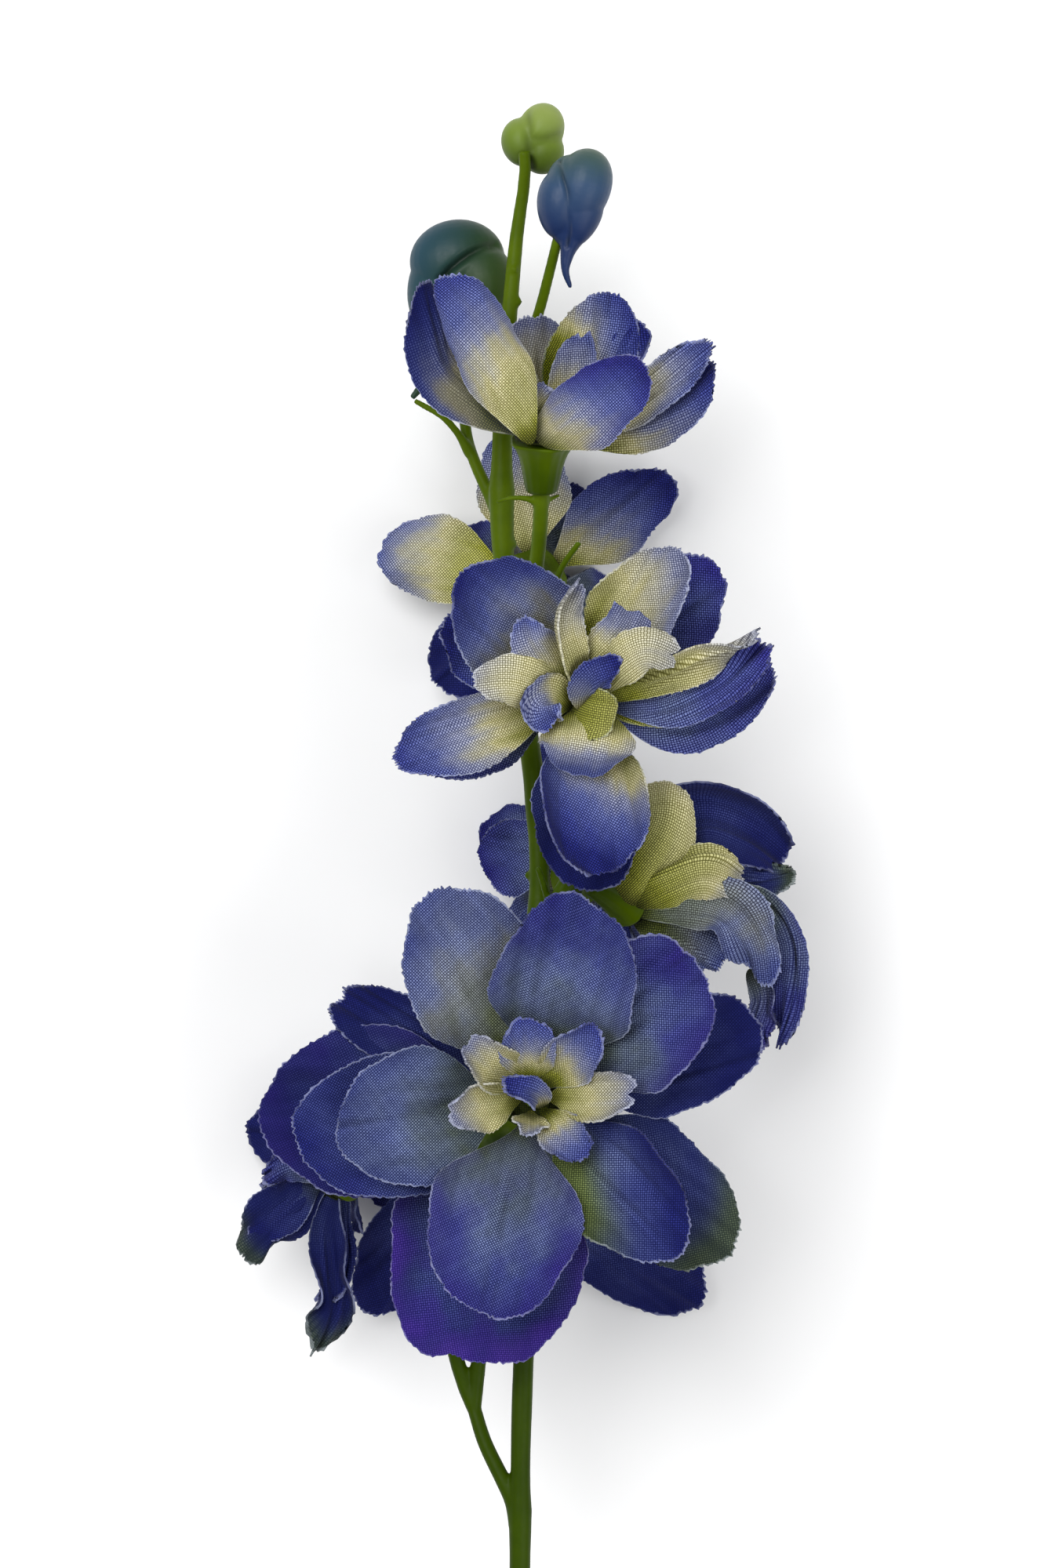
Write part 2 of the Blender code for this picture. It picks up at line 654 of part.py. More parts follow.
def main():
    clear_scene()
    for name, floret in FLORETS.items():
        back = name.endswith("back")
        outer_grid = BACK_GRID if back else OUTER_GRID
        inner_grid = RESTING_GRID if back else INNER_GRID
        centre_grid = CENTRE_GRID if floret["facing"] == (0, 0, 1) else BACK_CENTRE_GRID
        calyx(f"{name}_calyx", floret)
        petal_layer(f"{name}_outer_petals", floret, floret["outer"], 0, outer_grid, "petal_deep")
        petal_layer(f"{name}_inner_petals", floret, floret["inner"], 1, inner_grid, "petal_blue")
        petal_layer(f"{name}_centre_petals", floret, floret["centre"], 2, centre_grid, "petal_cream")
    bud("top_bud", "bud_green")
    bud("right_bud", "bud_blue")
    bud("left_bud", "bud_teal")
    stem()
    wire_core()
    for made in bpy.data.objects:
        made.data.transform(Matrix.Translation(MM * Vector((-BOX_MIDDLE[0], -BOX_MIDDLE[1], 0))))


main()
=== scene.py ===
# Artificial delphinium spray lying on a pale floor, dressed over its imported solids.
import json
import math

import bmesh
import bpy
import numpy as np
from mathutils import Matrix, Vector

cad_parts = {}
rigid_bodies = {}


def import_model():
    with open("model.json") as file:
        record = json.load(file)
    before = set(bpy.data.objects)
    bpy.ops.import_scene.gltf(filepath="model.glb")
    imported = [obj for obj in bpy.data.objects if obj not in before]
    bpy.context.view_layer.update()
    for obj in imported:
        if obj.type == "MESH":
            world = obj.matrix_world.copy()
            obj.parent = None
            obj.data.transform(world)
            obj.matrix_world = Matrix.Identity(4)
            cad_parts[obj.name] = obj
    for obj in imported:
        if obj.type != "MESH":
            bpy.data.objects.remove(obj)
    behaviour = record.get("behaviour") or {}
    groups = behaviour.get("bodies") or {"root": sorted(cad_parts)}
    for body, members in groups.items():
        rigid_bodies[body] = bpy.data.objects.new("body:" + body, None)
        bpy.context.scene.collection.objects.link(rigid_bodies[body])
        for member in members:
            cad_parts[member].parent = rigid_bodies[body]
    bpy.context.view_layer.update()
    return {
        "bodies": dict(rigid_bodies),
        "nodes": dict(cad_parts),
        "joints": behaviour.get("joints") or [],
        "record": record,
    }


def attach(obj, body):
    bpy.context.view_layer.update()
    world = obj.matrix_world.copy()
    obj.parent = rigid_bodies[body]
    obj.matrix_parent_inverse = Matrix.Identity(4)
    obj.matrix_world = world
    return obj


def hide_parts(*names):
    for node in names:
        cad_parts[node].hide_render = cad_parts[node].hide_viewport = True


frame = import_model()
mm = 0.001
markToModel = Vector((1.65, 37.44, 0.0))  # the tables' places are measured from a mark on the stem


def shown(name, data):
    made = bpy.data.objects.new(name, data)
    bpy.context.scene.collection.objects.link(made)
    return made


def meshFrom(name, bm):
    mesh = bpy.data.meshes.new(name)
    bm.to_mesh(mesh)
    bm.free()
    return mesh


# The camera looks straight down on the spray.
cameraFacts = {"height": 1035, "lens": 100, "filmHeight": 24, "clipStart": 0.05}
cameraData = bpy.data.cameras.new("camera")
cameraData.sensor_fit = "VERTICAL"
cameraData.sensor_height = cameraFacts["filmHeight"]
cameraData.lens = cameraFacts["lens"]
cameraData.clip_start = cameraFacts["clipStart"]
camera = shown("camera", cameraData)
camera.location = mm * (markToModel + Vector((0, 0, cameraFacts["height"])))
bpy.context.scene.camera = camera
print("camera ready")


class Signal:  # one socket, so that shader maths reads as plain expressions
    def __init__(self, board, socket):
        self.board = board
        self.socket = socket

    def out(self, name):
        return Signal(self.board, self.socket.node.outputs[name])

    def maths(self, operation, other=None, swapped=False):
        values = [self] if other is None else [other, self] if swapped else [self, other]
        return self.board.node("ShaderNodeMath", {"operation": operation}, values)

    def __add__(self, other):
        return self.maths("ADD", other)

    __radd__ = __add__

    def __sub__(self, other):
        return self.maths("SUBTRACT", other)

    def __rsub__(self, other):
        return self.maths("SUBTRACT", other, True)

    def __mul__(self, other):
        return self.maths("MULTIPLY", other)

    __rmul__ = __mul__

    def __truediv__(self, other):
        return self.maths("DIVIDE", other)

    def __rtruediv__(self, other):
        return self.maths("DIVIDE", other, True)

    def __abs__(self):
        return self.maths("ABSOLUTE")


class Board:  # one material's node tree
    def __init__(self, name, sockets):
        self.material = bpy.data.materials.new(name)
        self.material.use_nodes = True
        self.tree = self.material.node_tree
        self.shader = self.tree.nodes["Principled BSDF"]
        self.set(sockets)

    def set(self, sockets):
        for key, value in sockets.items():
            self.put(self.shader.inputs[key], value)

    def put(self, socket, value):
        if isinstance(value, Signal):
            self.tree.links.new(value.socket, socket)
        else:
            socket.default_value = value

    def node(self, kind, settings=None, values=()):
        made = self.tree.nodes.new(kind)
        for key, value in (settings or {}).items():
            if key == "stops":  # screen colours by their places
                elements = made.color_ramp.elements
                while len(elements) < len(value):
                    elements.new(1)
                for element, (place, tint) in zip(elements, value.items()):
                    element.position = place
                    element.color = colour(*tint)
            else:
                setattr(made, key, value)
        for key, value in values.items() if isinstance(values, dict) else enumerate(values):
            self.put(made.inputs[key], value)
        return Signal(self, next(socket for socket in made.outputs if socket.enabled))

    def mix(self, share, first, second):
        return self.node("ShaderNodeMix", {"data_type": "RGBA"}, {0: share, 6: first, 7: second})

    def ramp(self, value, stops):
        return self.node("ShaderNodeValToRGB", {"stops": stops}, [value])

    def step(self, value, low, high):  # 0 below low, 1 above high, smooth between
        return self.node("ShaderNodeMapRange", {"interpolation_type": "SMOOTHSTEP"},
                         {"Value": value, "From Min": low, "From Max": high})

    def read(self, name, kind="Fac"):
        return self.node("ShaderNodeAttribute", {"attribute_name": name}).out(kind)

    def split(self, vector):
        parts = self.node("ShaderNodeSeparateXYZ", {}, [vector])
        return [parts.out(axis) for axis in "XYZ"]

    def stretched(self, vector, scale):
        return self.node("ShaderNodeMapping", {}, {"Vector": vector, "Scale": scale})

    def noise(self, place, scale, detail=3, roughness=0.5):
        return self.node("ShaderNodeTexNoise", {}, {"Vector": place, "Scale": scale, "Detail": detail,
                                                    "Roughness": roughness})

    def place(self):
        return self.node("ShaderNodeTexCoord").out("Object")

    def bump(self, height, distance, strength):
        self.set({"Normal": self.node("ShaderNodeBump", {}, {"Height": height, "Distance": distance,
                                                             "Strength": strength})})


def colour(red, green, blue):  # a screen colour as the linear one that shaders take
    shares = [value / 255 for value in (red, green, blue)]
    return (*(c / 12.92 if c <= 0.04045 else ((c + 0.055) / 1.055) ** 2.4 for c in shares), 1)


cloth = {
    "thickness": 0.3, "threadPitch": 0.34, "threadDepth": 0.08, "threadOffset": 200,
    "shader": {"Roughness": 0.8, "Specular IOR Level": 0.12, "Sheen Weight": 0.03, "Sheen Roughness": 0.5},
    # The print from a petal's root to its tip, twice: paler with painted sheen on the raised threads, then
    # darker with painted shade down between them.
    "tops": {
        "cream": {0.00: (138, 146, 20), 0.14: (192, 194, 78), 0.34: (230, 224, 182), 0.50: (178, 182, 202),
                  0.66: (122, 134, 194), 0.83: (86, 97, 178), 1.00: (50, 57, 148)},
        "cool": {0.00: (76, 86, 14), 0.10: (108, 118, 58), 0.26: (128, 141, 156), 0.50: (134, 149, 194),
                 0.75: (98, 111, 180), 1.00: (52, 59, 150)},
        "violet": (112, 80, 196), "olive": (128, 142, 72),
    },
    "gaps": {
        "cream": {0.00: (34, 40, 0), 0.14: (66, 70, 2), 0.34: (124, 118, 64), 0.50: (56, 62, 96),
                  0.66: (24, 31, 86), 0.83: (14, 19, 76), 1.00: (6, 9, 62)},
        "cool": {0.00: (18, 24, 0), 0.10: (34, 42, 8), 0.26: (24, 34, 52), 0.50: (20, 29, 74),
                 0.75: (13, 19, 75), 1.00: (6, 10, 63)},
        "violet": (40, 18, 112), "olive": (44, 56, 14),
    },
    # Cut-thread colour, darker dye with painted shade, and painted shade at petal roots.
    "threadEnd": (206, 212, 232), "darkDyeAndShade": (0.003, 0.006, 0.07, 1), "rootShade": (0.007, 0.010, 0.0005, 1),
}


def makeClothMaterial():
    board = Board("petalCloth", cloth["shader"])
    place = board.place()
    share, edge = board.read("share"), board.read("edge")
    start, span, cool = board.split(board.read("look", "Vector"))
    violet, olive, dark = board.split(board.read("tone", "Vector"))
    # The print runs unevenly, in streaks along the petal; the same streaks paint paler sheen on the raised
    # threads.
    lie = board.read("lie", "Vector")
    far = board.split(lie)[1]
    streaks = board.noise(board.stretched(lie, (1.0, 0.16, 1.0)), 0.55)
    blot = board.noise(lie, 0.13, 2)
    along = (share + (blot - 0.5) * (0.3 + cool * 0.8) + (streaks - 0.5) * 0.28 - start) / span
    violetShare = violet * (board.step(blot, 0.40, 0.65) * 0.45 + board.step(edge, 4.5, 0.3) * 0.6)
    oliveShare = (olive.maths("MAXIMUM", 0.0) * board.step(share, 0.68, 1.05)
                  - olive.maths("MINIMUM", 0.0) * board.step(share, 0.66, 0.15))
    dye = {}
    for part in ("tops", "gaps"):
        inks = cloth[part]
        printed = board.mix(cool, board.ramp(along, inks["cream"]), board.ramp(along, inks["cool"]))
        printed = board.mix(violetShare, printed, colour(*inks["violet"]))
        dye[part] = board.mix(oliveShare, printed, colour(*inks["olive"]))
    # Plain weave: threads pass over and under one another.
    u, v = board.split(board.node("ShaderNodeUVMap", {"uv_map": "cloth"}))[:2]
    across, down = abs(u.maths("FRACT") * 2 - 1), abs(v.maths("FRACT") * 2 - 1)
    over = (u.maths("FLOOR") + v.maths("FLOOR")).maths("FLOORED_MODULO", 2)
    warp = (1 - across * across) * (1 - down * down * down * 0.8)
    weft = (1 - down * down) * (1 - across * across * across * 0.8)
    height = warp * over + weft * (1 - over) * 0.72
    thread = u.maths("FLOOR") * over + (v.maths("FLOOR") + 500) * (1 - over)
    slub = board.node("ShaderNodeTexWhiteNoise", {"noise_dimensions": "1D"}, {"W": thread})
    # The raised threads are paler with a painted sheen, strongest along the petal's middle and in the streaks
    # and weaker on dark petals, and a petal is darker at its root with painted shade.
    threadSheen = 0.34 + streaks * 0.95 - dark * 0.6 + board.step(edge, 0.8, 7.0) * 0.24
    raised = board.step(height * (0.88 + slub * 0.24), 0.20, 0.85) * threadSheen
    # Painted sheen on the raised threads, painted shade in the gaps between them.
    woven = board.mix(raised, dye["gaps"], dye["tops"])
    # Darker dye and painted shade on petals that lie in shadow.
    darker = dark.maths("MAXIMUM", 0.0) * 0.5 * (1 - oliveShare * 0.85)
    woven = board.mix(darker, woven, cloth["darkDyeAndShade"])
    # Painted shade at each petal's root, by the hub.
    woven = board.mix(board.step(far, 4.4, 0.3) * 0.75, woven, cloth["rootShade"])
    # Cut threads stand pale along the rim.
    cut = board.step(edge + board.noise(place, 1100, 1) * 0.3, 0.36, 0.18) * board.step(far, 1.0, 4.0)
    patchy = board.step(board.noise(place, 160, 2), 0.35, 0.6)
    pale = board.mix(0.45, dye["tops"], colour(*cloth["threadEnd"]))
    board.set({"Base Color": board.mix(cut * (0.08 + patchy * 0.5), woven, pale)})
    board.bump(height + cut * board.noise(place, 2500, 1) * 1.5, cloth["threadDepth"] * mm, 0.9)
    return board.material


clothMaterial = makeClothMaterial()

# Looks: where the print starts, how far it runs along the petal, and how cool it is, then violet, olive (at
# the tip, or at the root if negative) and darkness, which is darker dye and painted shade on petals lying in
# shadow (below zero, paler).
looks = {
    "openBlue": (-0.15, 1.15, 0, 0, 0, 0.2),
    "hazy": (-0.02, 1.20, 0.5, 0, 0, 0.3),
    "pale": (-0.35, 2.20, 0, 0, 0, -0.1),
    "paleCream": (0.04, 1.60, 0, 0, 0, -0.55),
    "cream": (-0.30, 2.60, 0, 0, 0, 0),
    "greenCream": (-0.20, 2.50, 0, 0, 0, 0),
    "creamTip": (-0.02, 1.50, 0, 0, 0, -0.05),
    "shaded": (0.00, 1.90, 0, 0, 0, 0.5),
    "tipped": (0.08, 1.10, 0, 0, 0, 0),
    "blue": (-0.08, 1.30, 1, 0.1, -0.35, 0.3),
    "blueViolet": (-0.08, 1.25, 1, 0.28, -0.4, 0.34),
    "greyBlue": (-0.06, 1.60, 1, 0, -0.35, 0.26),
    "midBlue": (-0.9, 2.1, 1, 0, 0, 0.3),
    "brightBlue": (-0.8, 2, 1, 0.1, 0, -0.05),
    "creamFlash": (-0.60, 3.6, 0, 0, 0, -0.35),
    "oliveYellow": (-0.3, 6.5, 0, 0, 0, 0.1),
    "greenBlueTip": (-0.05, 2.6, 0, 0, 0, 0),
    "navyGreen": (-1, 1.8, 1, 0, 0.75, 1),
    "topFront": (-0.08, 1.35, 0, 0, 0, 0),
    "blueFront": (-0.20, 1.20, 0, 0.1, 0, 0.06),
    "dimBlue": (0.10, 1.05, 0.2, 0, 0, 0.8),
    "khaki": (-0.6, 3.3, 0, 0, 0, 0.45),
    "deep": (-1, 2, 1, 0, 0, 0.75),
    "violet": (-0.8, 1.9, 1, 0.9, 0, 0.5),
    "violetRim": (-0.8, 1.9, 1, 0.32, 0, 0.72),
    "green": (-0.5, 5, 0, 0, 0, -0.15),
    "greenToBlue": (-0.05, 1.7, 0.8, 0, -0.4, 0.12),
    "oliveTip": (-0.7, 2, 1, 0, 0.8, 0.8),
    "navyOlive": (-0.5, 1.70, 1, 0, -0.95, 0.5),
}

petalRules = {
    "knee": 0.16, "rootRise": 28, "outlineReach": 1.12, "hubThickness": 0.9, "layerStep": 1.2,
    "floorGap": 0.02, "softBend": 0.6, "routeStep": 0.7, "flatGrid": 41,
    # By layer: the hub's radius, how far a root reaches into it, a root's width, where the width is full, and
    # how much bluer the print is at the rim.
    "hubRadii": (4.3, 3.5, 2.5), "rootDepths": (1.1, 0.9, 0.7), "rootWidths": (4.4, 4.2, 2.6),
    "fullWidths": (0.46, 0.50, 0.62), "rimPrint": (0.13, 0.12, 0.06),
    # The outline's waves and their sizes, and its fray in mm.
    "rimWaves": ((2, 0.55), (3, 0.45), (5, 0.35), (11, 0.16), (19, 0.10)), "fray": 0.07, "looseThread": 0.1,
}
layerNames = ("outer", "inner", "centre")
# Ruffle, crease and dimple heights in mm, and how uneven the outline is, by layer.
relief = {"outer": (0.95, 0.55, 0.55, 0.050), "inner": (0.80, 0.60, 0.52, 0.040),
          "centre": (0.50, 0.22, 0.18, 0.060)}
# What one petal may have besides: its tip curls in (degrees), a side's rim curls up (left, right, mm), it
# folds along its middle or rolls over towards its tip (degrees), its tip is notched or pointed, its ruffles
# and creases are larger, it is fuller or its root broader, and its print leans to its left side. A petal
# may follow its own route, with a tilt at each end, instead of leaving the hub evenly.
plainShape = {"curl": 0, "left": 0, "right": 0, "fold": 0, "roll": 0, "notch": 0, "point": 0, "ruffle": 1,
              "crease": 1, "fuller": 1, "broad": 0, "lean": 0, "route": None, "tilt": (0, 0)}
photo = {"pixel": 0.12, "middle": (665.5, 1000), "level": 35}  # mm a pixel at that level, straight below


def seen(x, y, z):  # a place named by its pixel in the photograph and its height
    depth = cameraFacts["height"] - photo["level"]
    scale = photo["pixel"] * (1 - (z - photo["level"]) / depth)
    return Vector(((x - photo["middle"][0]) * scale, (photo["middle"][1] - y) * scale, z))


def plain(turn, length, width, riseRoot, riseTip, cup, look, **more):
    return {"turn": turn, "length": length, "width": width, "riseRoot": riseRoot, "riseTip": riseTip,
            "cup": cup, "look": look, **plainShape, **more}


def routed(turn, width, cup, look, tilt=(0, 0), *, route, **more):  # a petal that follows its own route
    places = [seen(*place) for place in route]
    length = sum((b - a).length for a, b in zip(places, places[1:]))
    return plain(turn, length, width, 0, 0, cup, look, route=places, tilt=tilt, **more)


def around(turns, *facts):  # the same petal at several turns
    return [plain(turn, *facts) for turn in turns]


florets = {}


def addFloret(name, hub, facing, grids, **layers):
    florets[name] = {"hub": Vector(hub), "facing": Vector(facing), "grids": grids, **layers}


# Each floret: its hub's middle, the way it faces, each layer's grid and its petals. A plain petal: its turn
# about the hub, length, width, rise at the root and the tip, cup and look. A routed one gets its length and
# rise from its route, whose places are pixels across and down the photograph and heights in mm.
backCentre = around((-10, -100, -190, -280), 8, 5, 70, 60, 20, "cream")
addFloret("top", (3.1, 52.0, 50.0), (0.02, 0.94, 0.34), ((36, 48), (40, 52), (14, 24)), outer=[
    routed(206, 11.5, -30, "dimBlue", (35, 25), lean=0.2, broad=0.4, route=[(678, 556, 52), (622, 522, 52),
           (566, 462, 52), (542, 362, 53)]),
    routed(338, 11, -24, "openBlue", (-20, -30), lean=0.3, route=[(706, 560, 50), (790, 542, 49),
           (858, 510, 49), (908, 458, 50)]),
    plain(50, 23, 14, 30, 60, 20, "openBlue"),
    plain(120, 22, 13, 30, 66, 20, "shaded"),
], inner=[
    routed(240, 13.5, -46, "topFront", (12, 6), left=-2.6, lean=0.08, broad=0.45, crease=0.4,
           route=[(678, 566, 56), (656, 512, 60), (614, 436, 63), (562, 350, 60)]),
    routed(306, 12.5, -44, "blueFront", (-4, -4), broad=0.75, lean=0.2, crease=0.25, route=[(684, 560, 54),
           (728, 532, 60), (780, 498, 62), (828, 470, 61)]),
    routed(352, 8, 30, "creamTip", (10, 20), lean=-0.1, point=0.04, route=[(706, 552, 50.5), (780, 526, 52),
           (850, 480, 53.5), (904, 440, 54)]),
    routed(34, 15, 28, "creamTip", lean=-0.6, broad=0.5, route=[(700, 556, 48), (734, 500, 44),
           (764, 440, 42), (772, 374, 42)]),
    routed(124, 12.5, 25, "khaki", notch=0.05, broad=0.6, route=[(690, 556, 47), (682, 490, 43),
           (682, 402, 42)]),
], centre=[
    routed(22, 7.0, 25, "creamTip", notch=0.16, ruffle=1.4, broad=0.6, route=[(702, 556, 49), (724, 500, 48),
           (744, 420, 49)]),
    plain(143, 10, 6, 78, 66, 25, "shaded"),
    plain(262, 8, 5, 78, 66, 25, "shaded"),
])
addFloret("upper_back", (1.8, 31.9, 12.0), (0, 0, -1), ((30, 40), (24, 32), (8, 12)), outer=[
    plain(-38, 24, 13, 8, 14, 15, "openBlue", lean=-0.15),
    plain(-96, 21, 15, 8, 14, 15, "pale"),
    plain(-168, 22.2, 13.5, 8, 10, 15, "paleCream", notch=0.04, ruffle=1.3, crease=0.2),
    plain(-228, 20, 12, 8, 14, 15, "deep"),
    plain(-305, 20, 12, 8, 14, 15, "blue"),
], inner=around((-66, -156, -246, -336), 20, 12, 62, 24, 15, "blue"), centre=backCentre)
addFloret("middle", (8.2, 13.0, 52.0), (0, 0, 1), ((36, 48), (40, 52), (22, 30)), outer=[
    plain(150, 20, 14, 18, 10, 20, "openBlue"),
    plain(42, 26.5, 15, 18, 10, 20, "brightBlue"),
    routed(3, 10, -24, "brightBlue", (-10, -25), ruffle=1.3, route=[(770, 905, 53), (850, 922, 54),
           (922, 902, 53), (980, 846, 51)]),
    plain(-85, 26, 17, 2, -12, 15, "deep", broad=0.4),
    plain(203, 22, 11, 4, -10, 15, "blue"),
], inner=[
    plain(130, 25.8, 19, 38, 20, 28, "hazy", fuller=1.05),
    plain(55, 29, 14, 44, 20, 30, "cream", right=1.6, lean=-0.3),
    routed(17, 7.5, 30, "greenCream", (20, 30), ruffle=1.6, roll=40, route=[(768, 893, 56), (838, 864, 62),
           (902, 838, 62), (966, 814, 58)]),
    routed(12, 7.5, -34, "brightBlue", (-15, -25), ruffle=1.2, route=[(772, 900, 54), (850, 900, 59),
           (920, 872, 60), (980, 818, 57)]),
    routed(8, 3, -20, "green", (-10, -10), route=[(772, 906, 54), (850, 914, 57.5), (918, 893, 57.5),
           (962, 858, 55)]),
    plain(-82, 25, 18.4, 24, -6, 30, "openBlue", right=2.6, left=1.0, lean=-0.35, broad=0.42),
    plain(199, 28, 11, 30, -4, 24, "topFront", lean=-0.05),
], centre=[
    routed(172, 8.5, -34, "creamFlash", broad=0.6, notch=0.05, route=[(724, 892, 56), (692, 878, 63),
           (650, 866, 66.5), (600, 872, 65)]),
    routed(136, 8, -30, "creamTip", broad=0.5, notch=0.06, route=[(726, 888, 56), (702, 850, 62),
           (676, 820, 66), (662, 788, 65)]),
    routed(98, 6.5, 34, "cream", (30, 10), broad=0.6, left=1.2, roll=20, route=[(742, 884, 56),
           (730, 842, 64), (720, 790, 67), (738, 746, 64)]),
    routed(60, 9.5, -34, "creamTip", broad=0.5, route=[(752, 882, 56), (774, 846, 63), (800, 800, 65),
           (808, 756, 62)]),
    routed(26, 7.6, -28, "creamFlash", (-15, -5), broad=0.5, notch=0.1, route=[(756, 888, 57),
           (786, 850, 65), (822, 826, 68.5), (868, 838, 66.5)]),
    routed(-78, 14.5, -30, "creamTip", broad=0.6, ruffle=1.3, fuller=1.05, route=[(750, 902, 56),
           (750, 926, 62), (747, 958, 64), (742, 990, 60)]),
    routed(214, 7.6, 36, "tipped", broad=0.6, route=[(730, 898, 56), (706, 890, 62), (688, 902, 65),
           (706, 928, 64)]),
    routed(-25, 6.4, -36, "openBlue", (25, 10), broad=0.7, route=[(752, 904, 56), (748, 884, 62),
           (760, 862, 65.5), (790, 842, 66)]),
    routed(-40, 9.5, 30, "oliveYellow", broad=0.8, route=[(730, 898, 55), (752, 910, 62), (786, 918, 63.8)]),
])
addFloret("right", (16.8, -17.6, 37.0), (0.75, -0.38, -0.54), ((36, 48), (36, 48), (10, 16)), outer=[
    plain(288, 15, 17, 8, -4, 15, "deep"),
    routed(36, 13.5, -38, "green", (10, -8), fold=-10, broad=0.9, lean=-0.55, route=[(806, 1156, 41),
           (826, 1108, 46), (844, 1052, 47), (836, 1000, 44)]),
    routed(88, 9, -36, "greenBlueTip", (5, -10), ruffle=0.8, broad=0.8, lean=-0.1, route=[(806, 1152, 41),
           (850, 1128, 46), (900, 1110, 46), (950, 1126, 43)]),
    plain(190, 14, 11, 24, 24, 20, "deep"),
    routed(20, 9.5, -34, "greenToBlue", (0, 5), ruffle=1.2, broad=0.8, route=[(806, 1160, 40),
           (870, 1150, 45), (926, 1160, 45), (962, 1204, 43), (976, 1258, 40)]),
    routed(10, 8.5, -24, "greenToBlue", (5, 10), broad=0.7, route=[(806, 1166, 37), (848, 1186, 38),
           (886, 1204, 38), (922, 1234, 37)]),
], inner=[
    plain(296, 18, 12, 28, 6, 20, "deep"),
    routed(314, 12, 34, "deep", (-5, -15), ruffle=1.6, left=1.6, fuller=1.1, route=[(814, 1140, 36),
           (846, 1068, 38), (895, 1042, 38), (955, 1062, 36), (1006, 1102, 34)]),
    routed(352, 6, 20, "oliveTip", (0, 10), route=[(860, 1130, 36), (930, 1128, 37), (975, 1124, 36),
           (1016, 1112, 35)]),
    routed(52, 6.5, -26, "blue", (10, 30), ruffle=2.6, route=[(880, 1140, 36), (960, 1150, 38),
           (1000, 1200, 37), (1004, 1270, 36), (992, 1338, 34)]),
    routed(60, 4.5, 26, "blueViolet", (-20, 20), ruffle=2.0, route=[(955, 1236, 36), (972, 1272, 36),
           (966, 1310, 35), (972, 1338, 34)]),
    plain(170, 16, 12, 56, 40, 20, "deep"),
], centre=around((20, 140, 260), 9, 6, 80, 70, 20, "blue"))
addFloret("middle_back", (9.1, -13.5, 11.8), (-0.12, 0, -1), ((30, 40), (24, 32), (8, 12)), outer=[
    plain(-168, 13, 12, 6, 10, 15, "brightBlue"),
    plain(-100, 18, 12, 8, 12, 15, "midBlue"),
    plain(-30, 17, 12, 8, 12, 15, "deep"),
    plain(40, 15, 11, 8, 12, 15, "deep"),
    plain(115, 15, 11, 8, 12, 15, "midBlue"),
], inner=around((-62, -152, -242, -332), 19, 12, 64, 26, 15, "blue"), centre=backCentre)
addFloret("large", (1.7, -47.2, 52.0), (0, 0, 1), ((48, 64), (50, 64), (24, 34)), outer=[
    plain(18, 33, 18, 8, -12, 15, "deep"),
    plain(-38, 34, 19, 8, -12, 15, "oliveTip", point=0.06, fuller=1.08),
    plain(253, 39, 30.5, 8, -12, 15, "violet", ruffle=1.4, notch=0.05),
    plain(184, 38, 26, 8, -12, 15, "violetRim", ruffle=1.2),
    plain(153, 31, 12, 8, -8, 15, "deep", ruffle=1.6, notch=0.05),
], inner=[
    plain(75, 33.5, 22.6, 40, 20, 20, "blue"),
    plain(115, 35.3, 20, 28, 14, 20, "greenToBlue", fuller=1.04, lean=0.1),
    plain(190, 35, 22, 22, 2, 18, "midBlue", ruffle=1.2),
    plain(188, 30, 20.6, 32, 12, 20, "greyBlue"),
    plain(256, 33, 24, 37, 8, 20, "blueViolet", lean=0.06),
    plain(-46, 30, 17, 23, 10, 24, "navyOlive", lean=0.6, fold=14, fuller=1.08),
    plain(41, 32, 22, 26, 12, 20, "blueViolet", fuller=1.06, lean=-0.05),
], centre=[
    plain(139, 15.8, 8, 60, 14, 34, "cream", notch=0.12, left=1.0, curl=20, fuller=1.1),
    plain(95, 15, 8, 62, 22, 30, "tipped", curl=-10, fuller=1.15, notch=0.06),
    plain(50, 16.6, 8, 58, 14, 28, "tipped", left=1.0, fuller=1.15),
    plain(4, 16.4, 8, 52, 10, 30, "cream", notch=0.14, right=1.0, fuller=1.15),
    plain(-50, 12.5, 7, 60, 10, 26, "tipped", right=0.8, fuller=1.1),
    plain(186, 14.5, 8, 56, 14, 36, "cream", notch=0.12, right=1.2, curl=25, fuller=1.15),
    routed(176, 4.6, 34, "openBlue", (20, 5), broad=0.6, route=[(690, 1412, 56), (688, 1400, 61),
           (670, 1390, 64), (640, 1382, 63.5)]),
    plain(262, 8, 5.5, 74, 60, 30, "cream"),
])
addFloret("left_back", (-28.5, -60.6, 24.0), (-0.6, -0.6, -0.5), ((24, 40), (24, 40), (8, 12)), outer=[
    routed(72, 6.5, 34, "navyGreen", (20, -30), ruffle=2.0, route=[(428, 1500, 25), (417, 1560, 24),
           (420, 1620, 23), (424, 1672, 22), (394, 1728, 21)]),
    routed(122, 9, -30, "navyGreen", (10, -15), ruffle=2.0, notch=0.08, route=[(428, 1497, 25),
           (388, 1520, 25), (352, 1556, 24), (306, 1604, 23)]),
    routed(185, 5, -24, "blue", (0, 10), ruffle=1.5, route=[(428, 1497, 26), (372, 1486, 27),
           (334, 1504, 26)]),
    plain(340, 12, 8, 50, 60, 20, "deep"),
], inner=[
    routed(50, 4.5, -24, "deep", (-30, 10), ruffle=2.0, route=[(430, 1500, 24), (436, 1560, 23),
           (434, 1618, 22), (408, 1668, 22)]),
    plain(140, 14, 8, 70, 70, 20, "deep"),
    plain(225, 12, 8, 70, 70, 20, "deep"),
    plain(300, 12, 8, 70, 70, 20, "deep"),
], centre=around((0, 120, 240), 8, 5, 84, 80, 20, "cream"))
